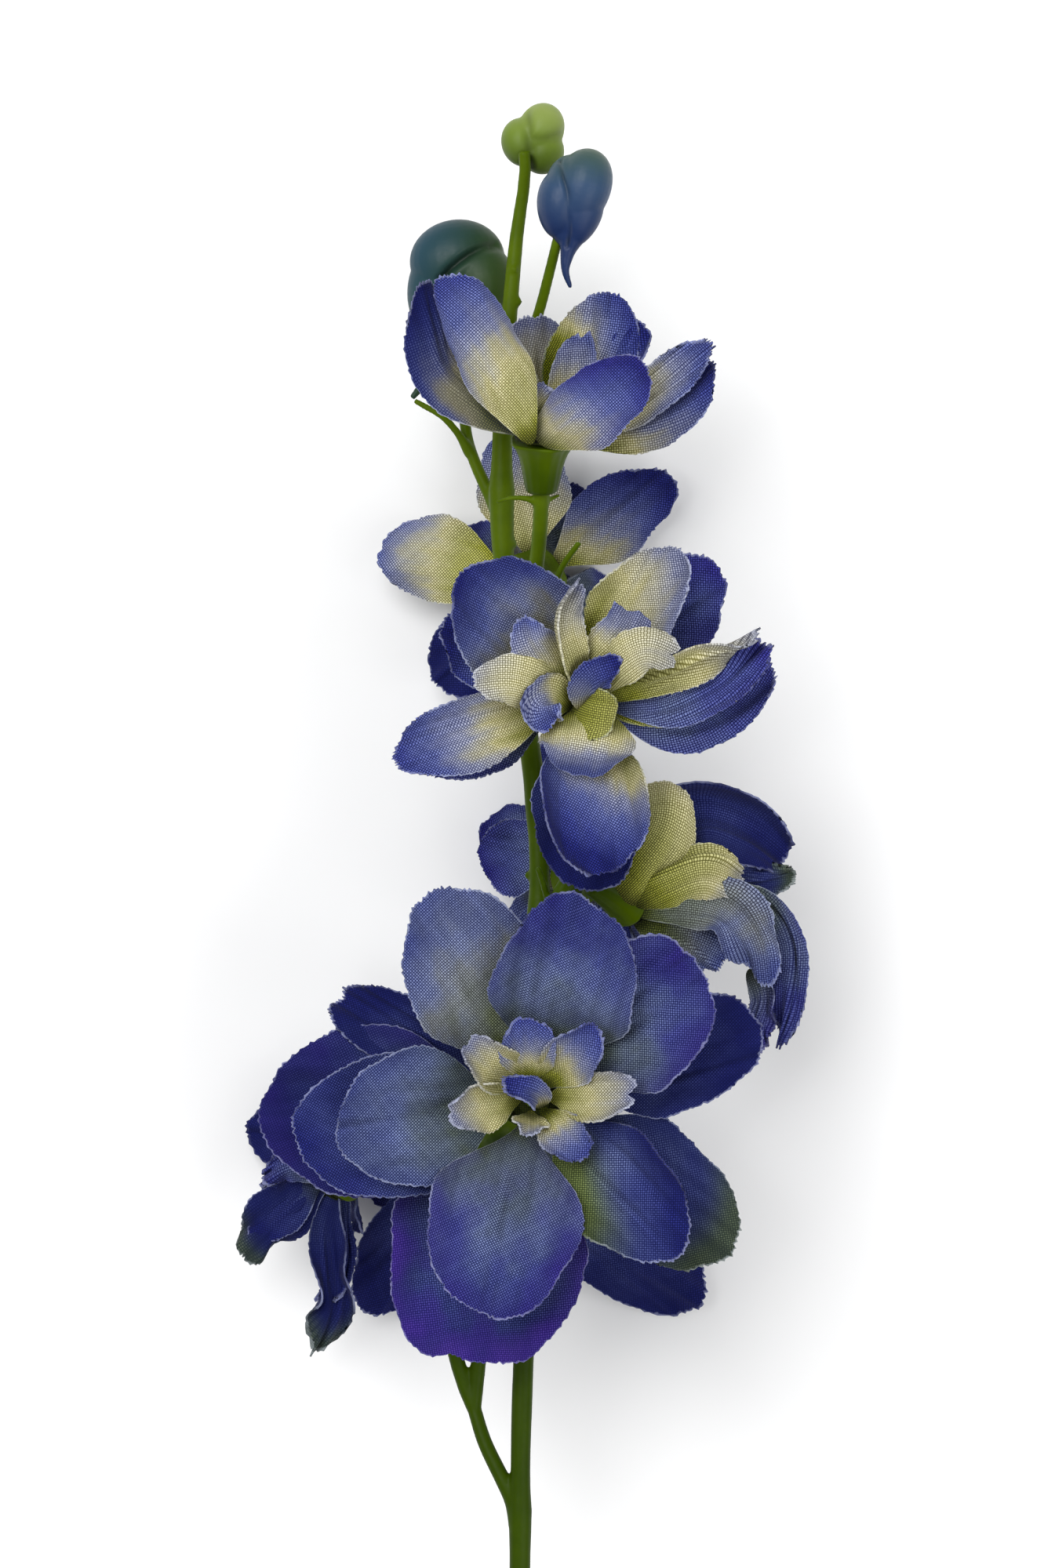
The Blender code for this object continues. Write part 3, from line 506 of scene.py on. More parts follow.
addFloret("low_back", (-3.1, -57.5, 13.7), (0, 0, -1), ((36, 48), (26, 36), (8, 12)), outer=[
    plain(-175, 39, 18, 8, 24, 15, "deep"),
    plain(-228, 31, 16, 8, 20, 15, "deep"),
    plain(37, 37, 18, 8, 20, 15, "deep"),
    plain(-110, 25, 14, 8, 20, 15, "deep"),
    plain(-50, 25, 14, 8, 20, 15, "deep"),
], inner=around((20, 92, 164, 236, 308), 26, 14, 56, 14, 15, "blue"), centre=backCentre)



def newPiece(mesh, node, material):
    piece = shown(mesh.name, mesh)
    mesh.materials.clear()
    mesh.materials.append(material)
    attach(piece, "root")
    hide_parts(node)
    return piece


def pieceName(node):  # lower_back_petals becomes lowerBackPetals
    first, *rest = node.split("_")
    return first + "".join(word.capitalize() for word in rest)


def floretAxes(facing):
    ahead = facing.normalized()
    across = (Vector((1, 0, 0)) - ahead.x * ahead).normalized()
    return across, ahead.cross(across), ahead


def fromFloret(places, floret):  # places about a floret's hub, as places about the model's middle
    turned = np.array(Matrix(floretAxes(floret["facing"])).transposed().to_4x4())
    return places @ turned[:3, :3].T + np.array(floret["hub"] + markToModel)


def smooth(low, high, values):
    share = np.clip((values - low) / (high - low), 0, 1)
    return share * share * (3 - 2 * share)


def turnedBy(x, y, angle):
    return x * np.cos(angle) - y * np.sin(angle), x * np.sin(angle) + y * np.cos(angle)


def smoothRoute(points, step):
    points = [Vector(point) for point in points]
    route = [2 * points[0] - points[1], *points, 2 * points[-1] - points[-2]]
    found = []
    for a, b, c, d in zip(route, route[1:], route[2:], route[3:]):
        count = max(1, round((c - b).length / step))
        for i in range(count):
            t = i / count
            found.append(0.5 * (2 * b + (c - a) * t + (2 * a - 5 * b + 4 * c - d) * t * t
                                + (3 * b - a - 3 * c + d) * t ** 3))
    return found + [points[-1]]


def readPlaces(mesh):
    places = np.empty(len(mesh.vertices) * 3, np.float32)
    mesh.vertices.foreach_get("co", places)
    return places.reshape(-1, 3).astype(float)


def setPlaces(mesh, places):
    mesh.vertices.foreach_set("co", (places * mm).astype(np.float32).ravel())


def addAttributes(mesh, **attributes):
    for name, values in attributes.items():
        kind, field = ("FLOAT", "value") if values.ndim == 1 else ("FLOAT_VECTOR", "vector")
        made = mesh.attributes.new(name, kind, "POINT")
        made.data.foreach_set(field, values.ravel().astype(np.float32))


def rootRadius(layer):
    return petalRules["hubRadii"][layer] - petalRules["rootDepths"][layer]


def hubHeight(layer):
    return petalRules["hubThickness"] / 2 + layer * petalRules["layerStep"]


def middleLine(petal, layer):
    # How far out, how high and how steep the petal's middle is, by its share.
    share = np.linspace(0, petalRules["outlineReach"], 80)
    stops = [0, petalRules["knee"], 1]
    rises = [min(petal["riseRoot"], petalRules["rootRise"]), petal["riseRoot"], petal["riseTip"]]
    rise = np.radians(np.interp(share, stops, rises))
    rise = rise + math.radians(petal["curl"]) * smooth(0.6, 1.05, share)
    step = petal["length"] * share[1]
    out = rootRadius(layer) + step * (np.cumsum(np.cos(rise)) - np.cos(rise) / 2 - 0.5 * np.cos(rise[0]))
    up = hubHeight(layer) + step * (np.cumsum(np.sin(rise)) - np.sin(rise) / 2 - 0.5 * np.sin(rise[0]))
    return share, out, up, rise


def alongRoute(petal, share, across, lift):
    # The petal's middle follows the route, and its section turns from the first tilt to the second.
    reach = petalRules["outlineReach"]
    points = np.array(smoothRoute(petal["route"], petalRules["routeStep"])) + np.array(markToModel)
    lengths = np.concatenate([[0], np.cumsum(np.linalg.norm(np.diff(points, axis=0), axis=1))])
    shares = lengths / lengths[-1]
    ways = np.gradient(points, shares, axis=0)
    points, shares = np.vstack([points, points[-1] + ways[-1] * (reach - 1)]), np.append(shares, reach)
    ways = np.vstack([ways, ways[-1]])
    middle, way = (np.stack([np.interp(share, shares, values[:, k]) for k in range(3)], 1)
                   for values in (points, ways))
    way /= np.linalg.norm(way, axis=1)[:, None]
    level = np.cross([0, 0, 1], way)
    level /= np.linalg.norm(level, axis=1)[:, None]
    first, last = petal["tilt"]
    side, normal = turnedBy(level, np.cross(way, level), -np.radians(first + (last - first) * share)[:, None])
    return middle + side * across[:, None] + normal * lift[:, None]


def rounded(side, along):  # a square's places drawn into a disc
    return side * np.sqrt(1 - along ** 2 / 2), along * np.sqrt(1 - side ** 2 / 2)


def fromMiddle(side, share, petal, layer):  # how far a place lies from the petal's middle line
    rootShare = max(petalRules["rootWidths"][layer] / petal["width"], petal["broad"])
    ease = smooth(0, petalRules["fullWidths"][layer], share)
    return side * (rootShare + (1 - rootShare) * ease) * petal["width"] * petal["fuller"] / 2


def shapePetal(grid, rimPoints, petal, layer, random, floret):
    # Returns the petal's places, thread coordinates, share along the print, edge distance and flat layout.
    length, width = petal["length"], petal["width"]
    ruffle, crease, dimple, uneven = relief[layerNames[layer]]
    ruffle, crease = ruffle * petal["ruffle"], crease * petal["crease"]
    side, along = rounded(*grid)
    reach = np.hypot(side, along)
    angle = np.arctan2(along, side)
    free = smooth(-0.75, 0.1, along)
    phase = random.uniform(0, 2 * math.pi, 12)
    lobes = sum(size * np.sin(count * angle + start)
                for (count, size), start in zip(petalRules["rimWaves"], phase))
    loose = petalRules["looseThread"]
    frayed = petalRules["fray"] * (np.sin(61 * angle + phase[5]) + np.sin(97 * angle + phase[6]))
    frayed = (frayed + rimPoints * random.uniform(-loose, loose, len(side))) / (width / 2)
    fromTip = np.abs(angle - math.pi / 2)
    tip = petal["point"] * np.exp(-(fromTip / 0.28) ** 2) - petal["notch"] * np.exp(-(fromTip / 0.16) ** 2)
    swell = 1 + (uneven * lobes + frayed) * free * reach ** 3 + tip * reach ** 2
    side, along = side * swell, along * swell
    share = (along + 1) / 2
    half, far = fromMiddle(side, share, petal, layer), share * length
    # Ruffles at the rim, creases along the petal and shallow dimples.
    rim = smooth(0.35, 1.0, reach) * free
    waves = random.integers(3, 6)
    relieved = ruffle * rim * (0.7 * np.sin(waves * angle + phase[7])
                               + 0.45 * np.sin((waves + 3) * angle + phase[8]))
    for number in range(3):
        middle = random.uniform(-0.6, 0.6)
        spread = random.uniform(0.06, 0.14)
        drift = random.uniform(-0.25, 0.25)
        sign = random.choice([-1, 1])
        near = np.exp(-((side - middle - drift * along) / spread) ** 2)
        relieved += sign * crease * near * smooth(0.12, 0.45, share)
    relieved += dimple * free * (np.sin(half / 3.1 + far / 4.3 + phase[9])
                                 * np.sin(far / 3.7 - half / 5.2 + phase[10]))
    sideways = side / np.maximum(0.25, np.sqrt(np.maximum(0.06, 1 - np.clip(along, -1, 1) ** 2)))
    relieved += free * (petal["left"] * smooth(0.35, 1.0, sideways) ** 2
                        + petal["right"] * smooth(-0.35, -1.0, sideways) ** 2)
    # The section is an arc, folded along its middle and rolled towards the tip.
    bow = width / 2 / math.radians(petal["cup"])
    leaning = half / bow
    across = bow * np.sin(leaning) - relieved * np.sin(leaning)
    lift = bow * (1 - np.cos(leaning)) + relieved * np.cos(leaning)
    fold = math.radians(petal["fold"]) * smooth(0.05, 0.4, share)
    lift = lift + np.sin(fold) * (np.sqrt(across ** 2 + 0.5) - 0.7)
    across, lift = turnedBy(across * np.cos(fold), lift, math.radians(petal["roll"]) * share)
    if petal["route"]:
        places = alongRoute(petal, share, across, lift)
    else:
        line = middleLine(petal, layer)
        out, up, rise = (np.interp(share, line[0], values) for values in line[1:])
        out, up = out - lift * np.sin(rise), up + lift * np.cos(rise)
        places = np.stack([*turnedBy(out, across, math.radians(petal["turn"])), up], 1)
        places = fromFloret(places, floret)
    grain = random.uniform(-0.3, 0.3) + (0 if petal["route"] else 0.6)
    threads = np.stack(turnedBy(half, far, grain), 1) / cloth["threadPitch"] + cloth["threadOffset"]
    edge = np.clip(1 - reach, 0, 1) * min(width, length) / 2
    lie = np.stack([half, far, np.full(len(half), random.uniform(0, 400))], 1)
    bluer = petalRules["rimPrint"][layer] * smooth(0.6, 1.0, reach) * free
    return places, threads, share + petal["lean"] * side + bluer, edge, lie


def layOnFloor(places):
    rest = cloth["thickness"] / 2 + petalRules["floorGap"]
    soft = petalRules["softBend"]
    above = places[:, 2] - rest
    settled = np.maximum(0, above + soft) ** 2 / (4 * soft)
    places[:, 2] = np.where(above < soft, settled, above) + rest
    return places


def flatSize(petals, layer):
    # The blank's smallest rectangle and its area, its petals laid flat at their turns about the hub.
    axis = np.linspace(-1, 1, petalRules["flatGrid"])
    side, along = rounded(*np.meshgrid(axis, axis))
    share = (along + 1) / 2
    laid, area = [], math.pi * petalRules["hubRadii"][layer] ** 2
    for petal in petals:
        x, y = fromMiddle(side, share, petal, layer), share * petal["length"]
        area += abs(((x[1:, 1:] - x[:-1, :-1]) * (y[1:, :-1] - y[:-1, 1:])
                     - (x[1:, :-1] - x[:-1, 1:]) * (y[1:, 1:] - y[:-1, :-1])).sum()) / 2
        out = rootRadius(layer) + y.ravel()
        laid.append(np.stack(turnedBy(out, x.ravel(), math.radians(petal["turn"])), 1))
    laid = np.vstack(laid).T
    sizes = (np.ptp(turnedBy(*laid, -angle), axis=1) for angle in np.radians(range(0, 90, 2)))
    return min(sizes, key=np.prod), area


def petalLayer(floretName, layer, seed):
    floret = florets[floretName]
    petals = floret[layerNames[layer]]
    columns, rows = floret["grids"][layer]
    random = np.random.default_rng(seed)
    bm = bmesh.new()
    for petal in petals:
        bmesh.ops.create_grid(bm, x_segments=columns, y_segments=rows, size=1)
    size = len(bm.verts) // len(petals)
    bmesh.ops.create_circle(bm, cap_ends=True, cap_tris=True, segments=24,
                            radius=petalRules["hubRadii"][layer])
    for edge in bm.edges:
        edge.smooth = not edge.is_boundary
    for face in bm.faces:
        face.smooth = True
    mesh = meshFrom(pieceName(floretName) + layerNames[layer].capitalize() + "Petals", bm)
    places = readPlaces(mesh)
    count = len(places)
    grid = places[:size, 0].copy(), places[:size, 1].copy()
    rimPoints = (np.maximum(*np.abs(grid)) > 0.9999) * 1.0
    threads, lie = np.zeros((count, 2)), np.zeros((count, 3))
    share, edge = np.zeros(count), np.full(count, 3.0)
    look, tone = np.tile([0.0, 1.2, 1.0], (count, 1)), np.zeros((count, 3))
    for number, petal in enumerate(petals):
        block = slice(number * size, (number + 1) * size)
        made = shapePetal(grid, rimPoints, petal, layer, random, floret)
        places[block], threads[block], share[block], edge[block], lie[block] = made
        look[block], tone[block] = looks[petal["look"]][:3], looks[petal["look"]][3:]
    hub = slice(len(petals) * size, count)
    places[hub, 2] = hubHeight(layer)
    threads[hub] = places[hub, :2] / cloth["threadPitch"] + cloth["threadOffset"]
    places[hub] = fromFloret(places[hub], floret)
    setPlaces(mesh, layOnFloor(places))
    addAttributes(mesh, share=share, edge=edge, look=look, tone=tone, lie=lie)
    corners = np.empty(len(mesh.loops), np.int32)
    mesh.loops.foreach_get("vertex_index", corners)
    mesh.uv_layers.new(name="cloth").data.foreach_set("uv", threads[corners].astype(np.float32).ravel())
    piece = newPiece(mesh, f"{floretName}_{layerNames[layer]}_petals", clothMaterial)
    thick = piece.modifiers.new("thickness", "SOLIDIFY")
    thick.thickness = cloth["thickness"] * mm
    thick.offset = 0
    (wide, long), area = flatSize(petals, layer)
    print(f"{piece.name} flat {wide:.1f} x {long:.1f} mm, {area:.0f} mm2, {area / wide / long:.2f} of it")
    wide * mm
    long * mm
    min(area, wide * long) * mm * mm


for number, floretName in enumerate(florets):
    for layer in range(3):
        petalLayer(floretName, layer, 100 * number + layer)
print("petals ready")

plastics = {  # three screen colours along the piece's own blend, and how blotchy it is
    "stemGreen": {"tints": ((30, 46, 0), (56, 77, 0), (99, 120, 12)), "blotch": 0.5,
                  "shader": {"Roughness": 0.42, "Specular IOR Level": 0.07}},
    "calyxGreen": {"tints": ((30, 45, 0), (53, 72, 0), (79, 99, 2)), "blotch": 0.5,
                   "shader": {"Roughness": 0.40, "Specular IOR Level": 0.07}},
    "budGreen": {"tints": ((64, 84, 16), (104, 126, 42), (134, 150, 78)), "blotch": 0.35,
                 "shader": {"Roughness": 0.44, "Specular IOR Level": 0.2}},
    "budBlue": {"tints": ((26, 44, 84), (46, 70, 100), (66, 88, 66)), "blotch": 0.3,
                "shader": {"Roughness": 0.40, "Specular IOR Level": 0.2}},
    "budTeal": {"tints": ((34, 66, 80), (36, 60, 44), (54, 74, 22)), "blotch": 0.3,
                "shader": {"Roughness": 0.42, "Specular IOR Level": 0.2}},
}
# Painted shade for hollows: bud creases, where a twig enters a bud, and inside a calyx's socket.
hollowShade = (0.004, 0.008, 0.002, 1)


def makePlastic(name):
    facts = plastics[name]
    board = Board(name, facts["shader"])
    place = board.place()
    mottle = board.noise(place, 110, 4, 0.6)
    blend = board.read("blend") + (mottle - 0.5) * facts["blotch"]
    tinted = board.ramp(blend, dict(zip((0.0, 0.5, 1.0), facts["tints"])))
    scuff = board.noise(place, 1500, 2)
    # Painted shade in the hollows.
    board.set({"Base Color": board.mix(board.read("hollow"), tinted, hollowShade),
               "Roughness": facts["shader"]["Roughness"] + (scuff - 0.5) * 0.25})
    board.bump(board.noise(place, 420), 0.06 * mm, 0.6)
    return board.material


materials = {name: makePlastic(name) for name in plastics}


def easedRoute(start, startWay, end, endWay, count):
    a, b = Vector(start), Vector(end)
    pull = 1.1 * (b - a).length
    u, v = Vector(startWay).normalized() * pull, Vector(endWay).normalized() * pull
    return [a * (2 * t ** 3 - 3 * t * t + 1) + u * (t ** 3 - 2 * t * t + t) + b * (3 * t * t - 2 * t ** 3)
            + v * (t ** 3 - t * t) for t in (i / count for i in range(count + 1))]


def sweep(bm, route, radii, sides=16, bored=None):
    # A ring is carried along the route and extruded at each point. A bore starts inside and comes out at
    # the end.
    ways = [(b - a).normalized() for a, b in zip(route, route[1:])]
    ways.append(ways[-1])
    turned = ways[0].to_track_quat("Z", "Y")
    frames = []
    for number, way in enumerate(ways):
        if number:
            turned = ways[number - 1].rotation_difference(way) @ turned
        frames.append(Matrix.Translation(route[number]) @ turned.to_matrix().to_4x4())
    steps = list(zip(frames, radii))
    if bored:
        radius, top = bored
        steps = [(frame, radius) for frame, place in zip(frames, route) if place.y < top][::-1] + steps
    ring = bmesh.ops.create_circle(bm, segments=sides, radius=1, cap_ends=True)["verts"]
    rim = list({edge for vert in ring for edge in vert.link_edges})
    held = Matrix.Identity(4)
    for number, (frame, radius) in enumerate(steps):
        target = frame @ Matrix.Diagonal((radius, radius, 1, 1))
        if number:
            made = bmesh.ops.extrude_edge_only(bm, edges=rim)["geom"]
            ring = [item for item in made if isinstance(item, bmesh.types.BMVert)]
            rim = [item for item in made if isinstance(item, bmesh.types.BMEdge)
                   and all(vert in ring for vert in item.verts)]
        bmesh.ops.transform(bm, matrix=target @ held.inverted(), verts=ring)
        held = target
    bmesh.ops.contextual_create(bm, geom=rim)


def ball(bm, middle, halfSizes, taper=0.0, turn=0.0, detail=(28, 18)):
    made = bmesh.ops.create_uvsphere(bm, u_segments=detail[0], v_segments=detail[1], radius=1)["verts"]
    bmesh.ops.rotate(bm, verts=made, matrix=Matrix.Rotation(math.pi / 2, 3, "X"))
    for vert in made:
        vert.co.x *= 1 + taper * vert.co.y
        vert.co.z *= 1 + taper * vert.co.y
    bmesh.ops.scale(bm, verts=made, vec=halfSizes)
    bmesh.ops.rotate(bm, verts=made, matrix=Matrix.Rotation(math.radians(turn), 3, "Z"))
    bmesh.ops.translate(bm, verts=made, vec=middle)


def fused(name, bm, voxel, rounds):
    # Joins what the bmesh holds into one skin, in millimetres about the mark.
    bmesh.ops.recalc_face_normals(bm, faces=bm.faces)
    mesh = meshFrom(name, bm)
    piece = shown(name, mesh)
    skin = piece.modifiers.new("skin", "REMESH")
    skin.mode = "VOXEL"
    skin.voxel_size = voxel
    soft = piece.modifiers.new("soft", "SMOOTH")
    soft.iterations = rounds
    soft.factor = 0.5
    whole = bpy.data.meshes.new_from_object(piece.evaluated_get(bpy.context.evaluated_depsgraph_get()))
    bpy.data.objects.remove(piece)
    bpy.data.meshes.remove(mesh)
    whole.name = name
    whole.shade_smooth()
    return whole


def routeDistance(places, route):
    found = np.full(len(places), 1e9)
    for a, b in zip(route, route[1:]):
        a, way = np.array(a), np.array(b) - np.array(a)
        along = np.clip((places - a) @ way / (way @ way), 0, 1)
        found = np.minimum(found, np.linalg.norm(places - a - along[:, None] * way, axis=1))
    return found


# The stem, its side twigs and the floret stalks are one moulding.
stem = {
    "route": [(-1.3, -179, 27), (-0.9, -156.9, 29.5), (-0.5, -134.9, 31.5), (-0.3, -117.8, 33),
              (-0.2, -102.1, 34), (0.2, -88.9, 34), (0.8, -72.1, 34), (1.7, -48, 34),
              (2.6, -24, 34), (2.6, -10.8, 34), (1.9, 0, 34), (-0.1, 14.4, 34.5),
              (-1.9, 26.4, 34.5), (-2.9, 36, 35), (-3.1, 48, 35), (-2.7, 60, 35),
              (-1.9, 72, 35), (-0.8, 84, 35), (0.2, 90.6, 36.2), (0.5, 94, 37.4),
              (0.3, 96.6, 38)],
    "radius": 1.6, "tipRadius": 0.9, "taperStart": 50, "boreRadius": 0.9, "boreTop": 50.3,
    "stalkRadius": 1.2, "voxel": 0.3, "smoothing": 5, "swelling": 0.14, "rootSwelling": 0.35,
    "waver": ((0.025, 7.3, 0), (0.02, 3.1, 1)),  # share of the radius, length and start
    "knobs": [((-0.7, 73.8, 35.2), 0.75), ((-1.2, 78.7, 36), 0.6), ((-2, 56.4, 35.8), 0.55),
              ((0.9, -14, 33.6), 0.6)],
}
twigs = {  # route, then the radius at the root and at the tip
    "toLeftBud": ([(-1.9, 36, 35), (-4, 42.1, 33.5), (-7.2, 49.3, 32), (-8.6, 54.3, 30),
                   (-8.9, 60.4, 28.5), (-8.2, 67.7, 27.5), (-7.9, 73.5, 27)], 1, 0.8),
    "tendril": ([(-7.9, 50.8, 31.5), (-9.9, 53.9, 32.5), (-12.1, 56.3, 33), (-14.5, 57.7, 33),
                 (-16.5, 58.8, 33)], 0.7, 0.45),
    "toRightBud": ([(-1.6, 60, 35), (0.3, 65.9, 36.5), (2.5, 71.7, 38.5), (4.1, 77.5, 41.5),
                    (5.3, 82.2, 44.2), (5.8, 84, 44.8)], 0.9, 0.8),
    "bare": ([(0.1, 13, 34.5), (2, 20, 36), (4.1, 26.3, 38.5), (4.8, 29.6, 41), (6.2, 33.1, 44),
              (8.7, 36.6, 46)], 0.8, 0.5),
    "tip": ([(2.7, -22.8, 35), (4.1, -19.1, 40), (3.4, -15.7, 42), (2.4, -12.6, 43)], 0.8, 0.5),
    "leftBract": ([(2.8, 42.4, 46.2), (0.6, 43.2, 47.4), (-1.8, 43.2, 47.6), (-4, 42.6, 46.6)], 0.6, 0.3),
    "rightBract": ([(2.8, 42.4, 46.2), (4.2, 43.1, 46.2), (5.7, 43.8, 45.4)], 0.6, 0.3),
    "low": ([(-0.4, -114, 33.3), (-1.2, -110.4, 33.2), (-3.1, -106.4, 33), (-5.7, -101.1, 32),
             (-7.4, -95.8, 31)], 1.3, 1.1),
}
stalks = {  # where each floret's stalk leaves, and the way it sets off
    "top": ((-0.9, 20, 34.5), (0.3, 1, 0.4)), "upper_back": ((-1.2, 21, 34.5), (0.3, 1, -0.6)),
    "middle": ((2.4, -6, 34), (0.4, 1, 0.5)), "right": ((2.5, -34, 34), (0.2, 1, 0.9)),
    "middle_back": ((2.6, -24, 34), (0.5, 1, -0.5)), "large": ((1.2, -62, 34), (0.1, 1, 0.6)),
    "left_back": ((-7.4, -95.8, 31), (-0.5, 1, -0.1)), "low_back": ((-7.4, -95.8, 31), (0.1, 1, 0)),
}
calyx = {"length": 8.2, "radius": 5.2, "socketRadius": 1.5, "socketDepth": 3, "gap": 0.3, "steps": 80,
         "lobes": 5, "notch": 0.10, "ribs": 15, "ribHeight": 0.035}


def finishPlastic(mesh, node, name, places, blend, hollow):
    setPlaces(mesh, places + np.array(markToModel))
    addAttributes(mesh, blend=blend, hollow=hollow)
    newPiece(mesh, node, materials[name])


def makeStem():
    bm = bmesh.new()
    route = smoothRoute(stem["route"], 3)
    heights = np.array([place.y for place in route])
    radii = np.interp(heights, [stem["taperStart"], heights[-1]], [stem["radius"], stem["tipRadius"]])
    radii = radii * (1 + sum(size * np.sin(heights / long + start) for size, long, start in stem["waver"]))
    leaving = [points[0] for points, root, tip in twigs.values()] + [start for start, way in stalks.values()]
    for x, y, z in leaving:  # a swelling where each branch leaves
        radii = radii * (1 + stem["swelling"] * np.exp(-((heights - y - 2) / 3) ** 2) * (abs(x) < 4))
    sweep(bm, route, radii, 24, (stem["boreRadius"], stem["boreTop"]))
    for points, root, tip in twigs.values():
        twigRoute = smoothRoute(points, 1.5)
        share = np.linspace(0, 1, len(twigRoute))
        swelling = stem["rootSwelling"] * np.exp(-(share * 6) ** 2)
        sweep(bm, twigRoute, root + (tip - root) * share + swelling)
    for name, (start, way) in stalks.items():
        ahead, hub = floretAxes(florets[name]["facing"])[2], florets[name]["hub"]
        end = hub - (calyx["length"] - calyx["socketDepth"] + calyx["gap"]) * ahead
        stalkRoute = easedRoute(start, way, hub - (calyx["length"] + 0.5) * ahead, ahead, 16) + [end]
        sweep(bm, stalkRoute, [stem["stalkRadius"]] * len(stalkRoute))
    for middle, size in stem["knobs"]:
        ball(bm, middle, (size, size, size), detail=(12, 8))
    mesh = fused("stem", bm, stem["voxel"], stem["smoothing"])
    places = readPlaces(mesh)
    top = smooth(-100, 60, places[:, 1])
    finishPlastic(mesh, "stem", "stemGreen", places, 0.28 + 0.42 * top, np.zeros(len(places)))


makeStem()
print("stem ready")


def makeCalyx(floretName):
    bm = bmesh.new()
    reach, inner, length = calyx["radius"], calyx["socketRadius"], calyx["length"]
    floor = calyx["socketDepth"] - length
    # Socket, mouth, flared wall, top, then the peg and its head.
    profile = [(0, floor), (inner * 0.6, floor), (inner, floor), (inner, -length + 0.15),
               (inner + 0.1, -length), (2.1, -length - 0.05), (2.4, -length + 0.15), (2.5, -length + 0.6),
               (2.65, -7), (2.8, -6.2), (3, -5.2), (3.2, -4.2), (3.5, -3.2), (3.9, -2.2), (4.4, -1.4),
               (4.8, -0.9), (reach, -0.5), (reach, -0.3), (reach - 0.25, -0.2), (4.2, -0.3), (2, -0.3),
               (0.75, -0.3), (0.7, 0.3), (0.7, 3.4), (1.2, 3.55), (1.35, 3.8), (1.1, 4.15), (0.6, 4.35),
               (0, 4.4)]
    points = [bm.verts.new((radius, 0, height)) for radius, height in profile]
    edges = [bm.edges.new(pair) for pair in zip(points, points[1:])]
    bmesh.ops.spin(bm, geom=points + edges, axis=(0, 0, 1), cent=(0, 0, 0), steps=calyx["steps"],
                   angle=2 * math.pi, use_merge=True)
    bmesh.ops.remove_doubles(bm, verts=bm.verts, dist=0.001)
    bmesh.ops.recalc_face_normals(bm, faces=bm.faces)
    mesh = meshFrom(pieceName(floretName) + "Calyx", bm)
    mesh.shade_smooth()
    places = readPlaces(mesh)
    radius, angle = np.hypot(places[:, 0], places[:, 1]), np.arctan2(places[:, 1], places[:, 0])
    flare = smooth(2.6, reach, radius) * (places[:, 2] < 0)
    wall = (radius > 2.2) * smooth(-length, -length + 1, places[:, 2]) * (places[:, 2] < -0.25)
    scallop = 0.5 - 0.5 * np.cos(calyx["lobes"] * angle)
    ribs = calyx["ribHeight"] * wall * np.cos(calyx["ribs"] * angle) / np.maximum(radius, 1)
    places[:, :2] *= (1 - calyx["notch"] * flare * scallop + ribs)[:, None]
    blend = 0.35 + 0.5 * smooth(-length, -1, places[:, 2]) * (0.6 + 0.4 * (1 - scallop))
    # Painted shade inside the socket.
    hollow = 0.7 * (radius < inner + 0.05) * (places[:, 2] < -1)
    places = fromFloret(places, florets[floretName]) - np.array(markToModel)
    finishPlastic(mesh, f"{floretName}_calyx", "calyxGreen", places, blend, hollow)


for floretName in florets:
    makeCalyx(floretName)
print("calyces ready")
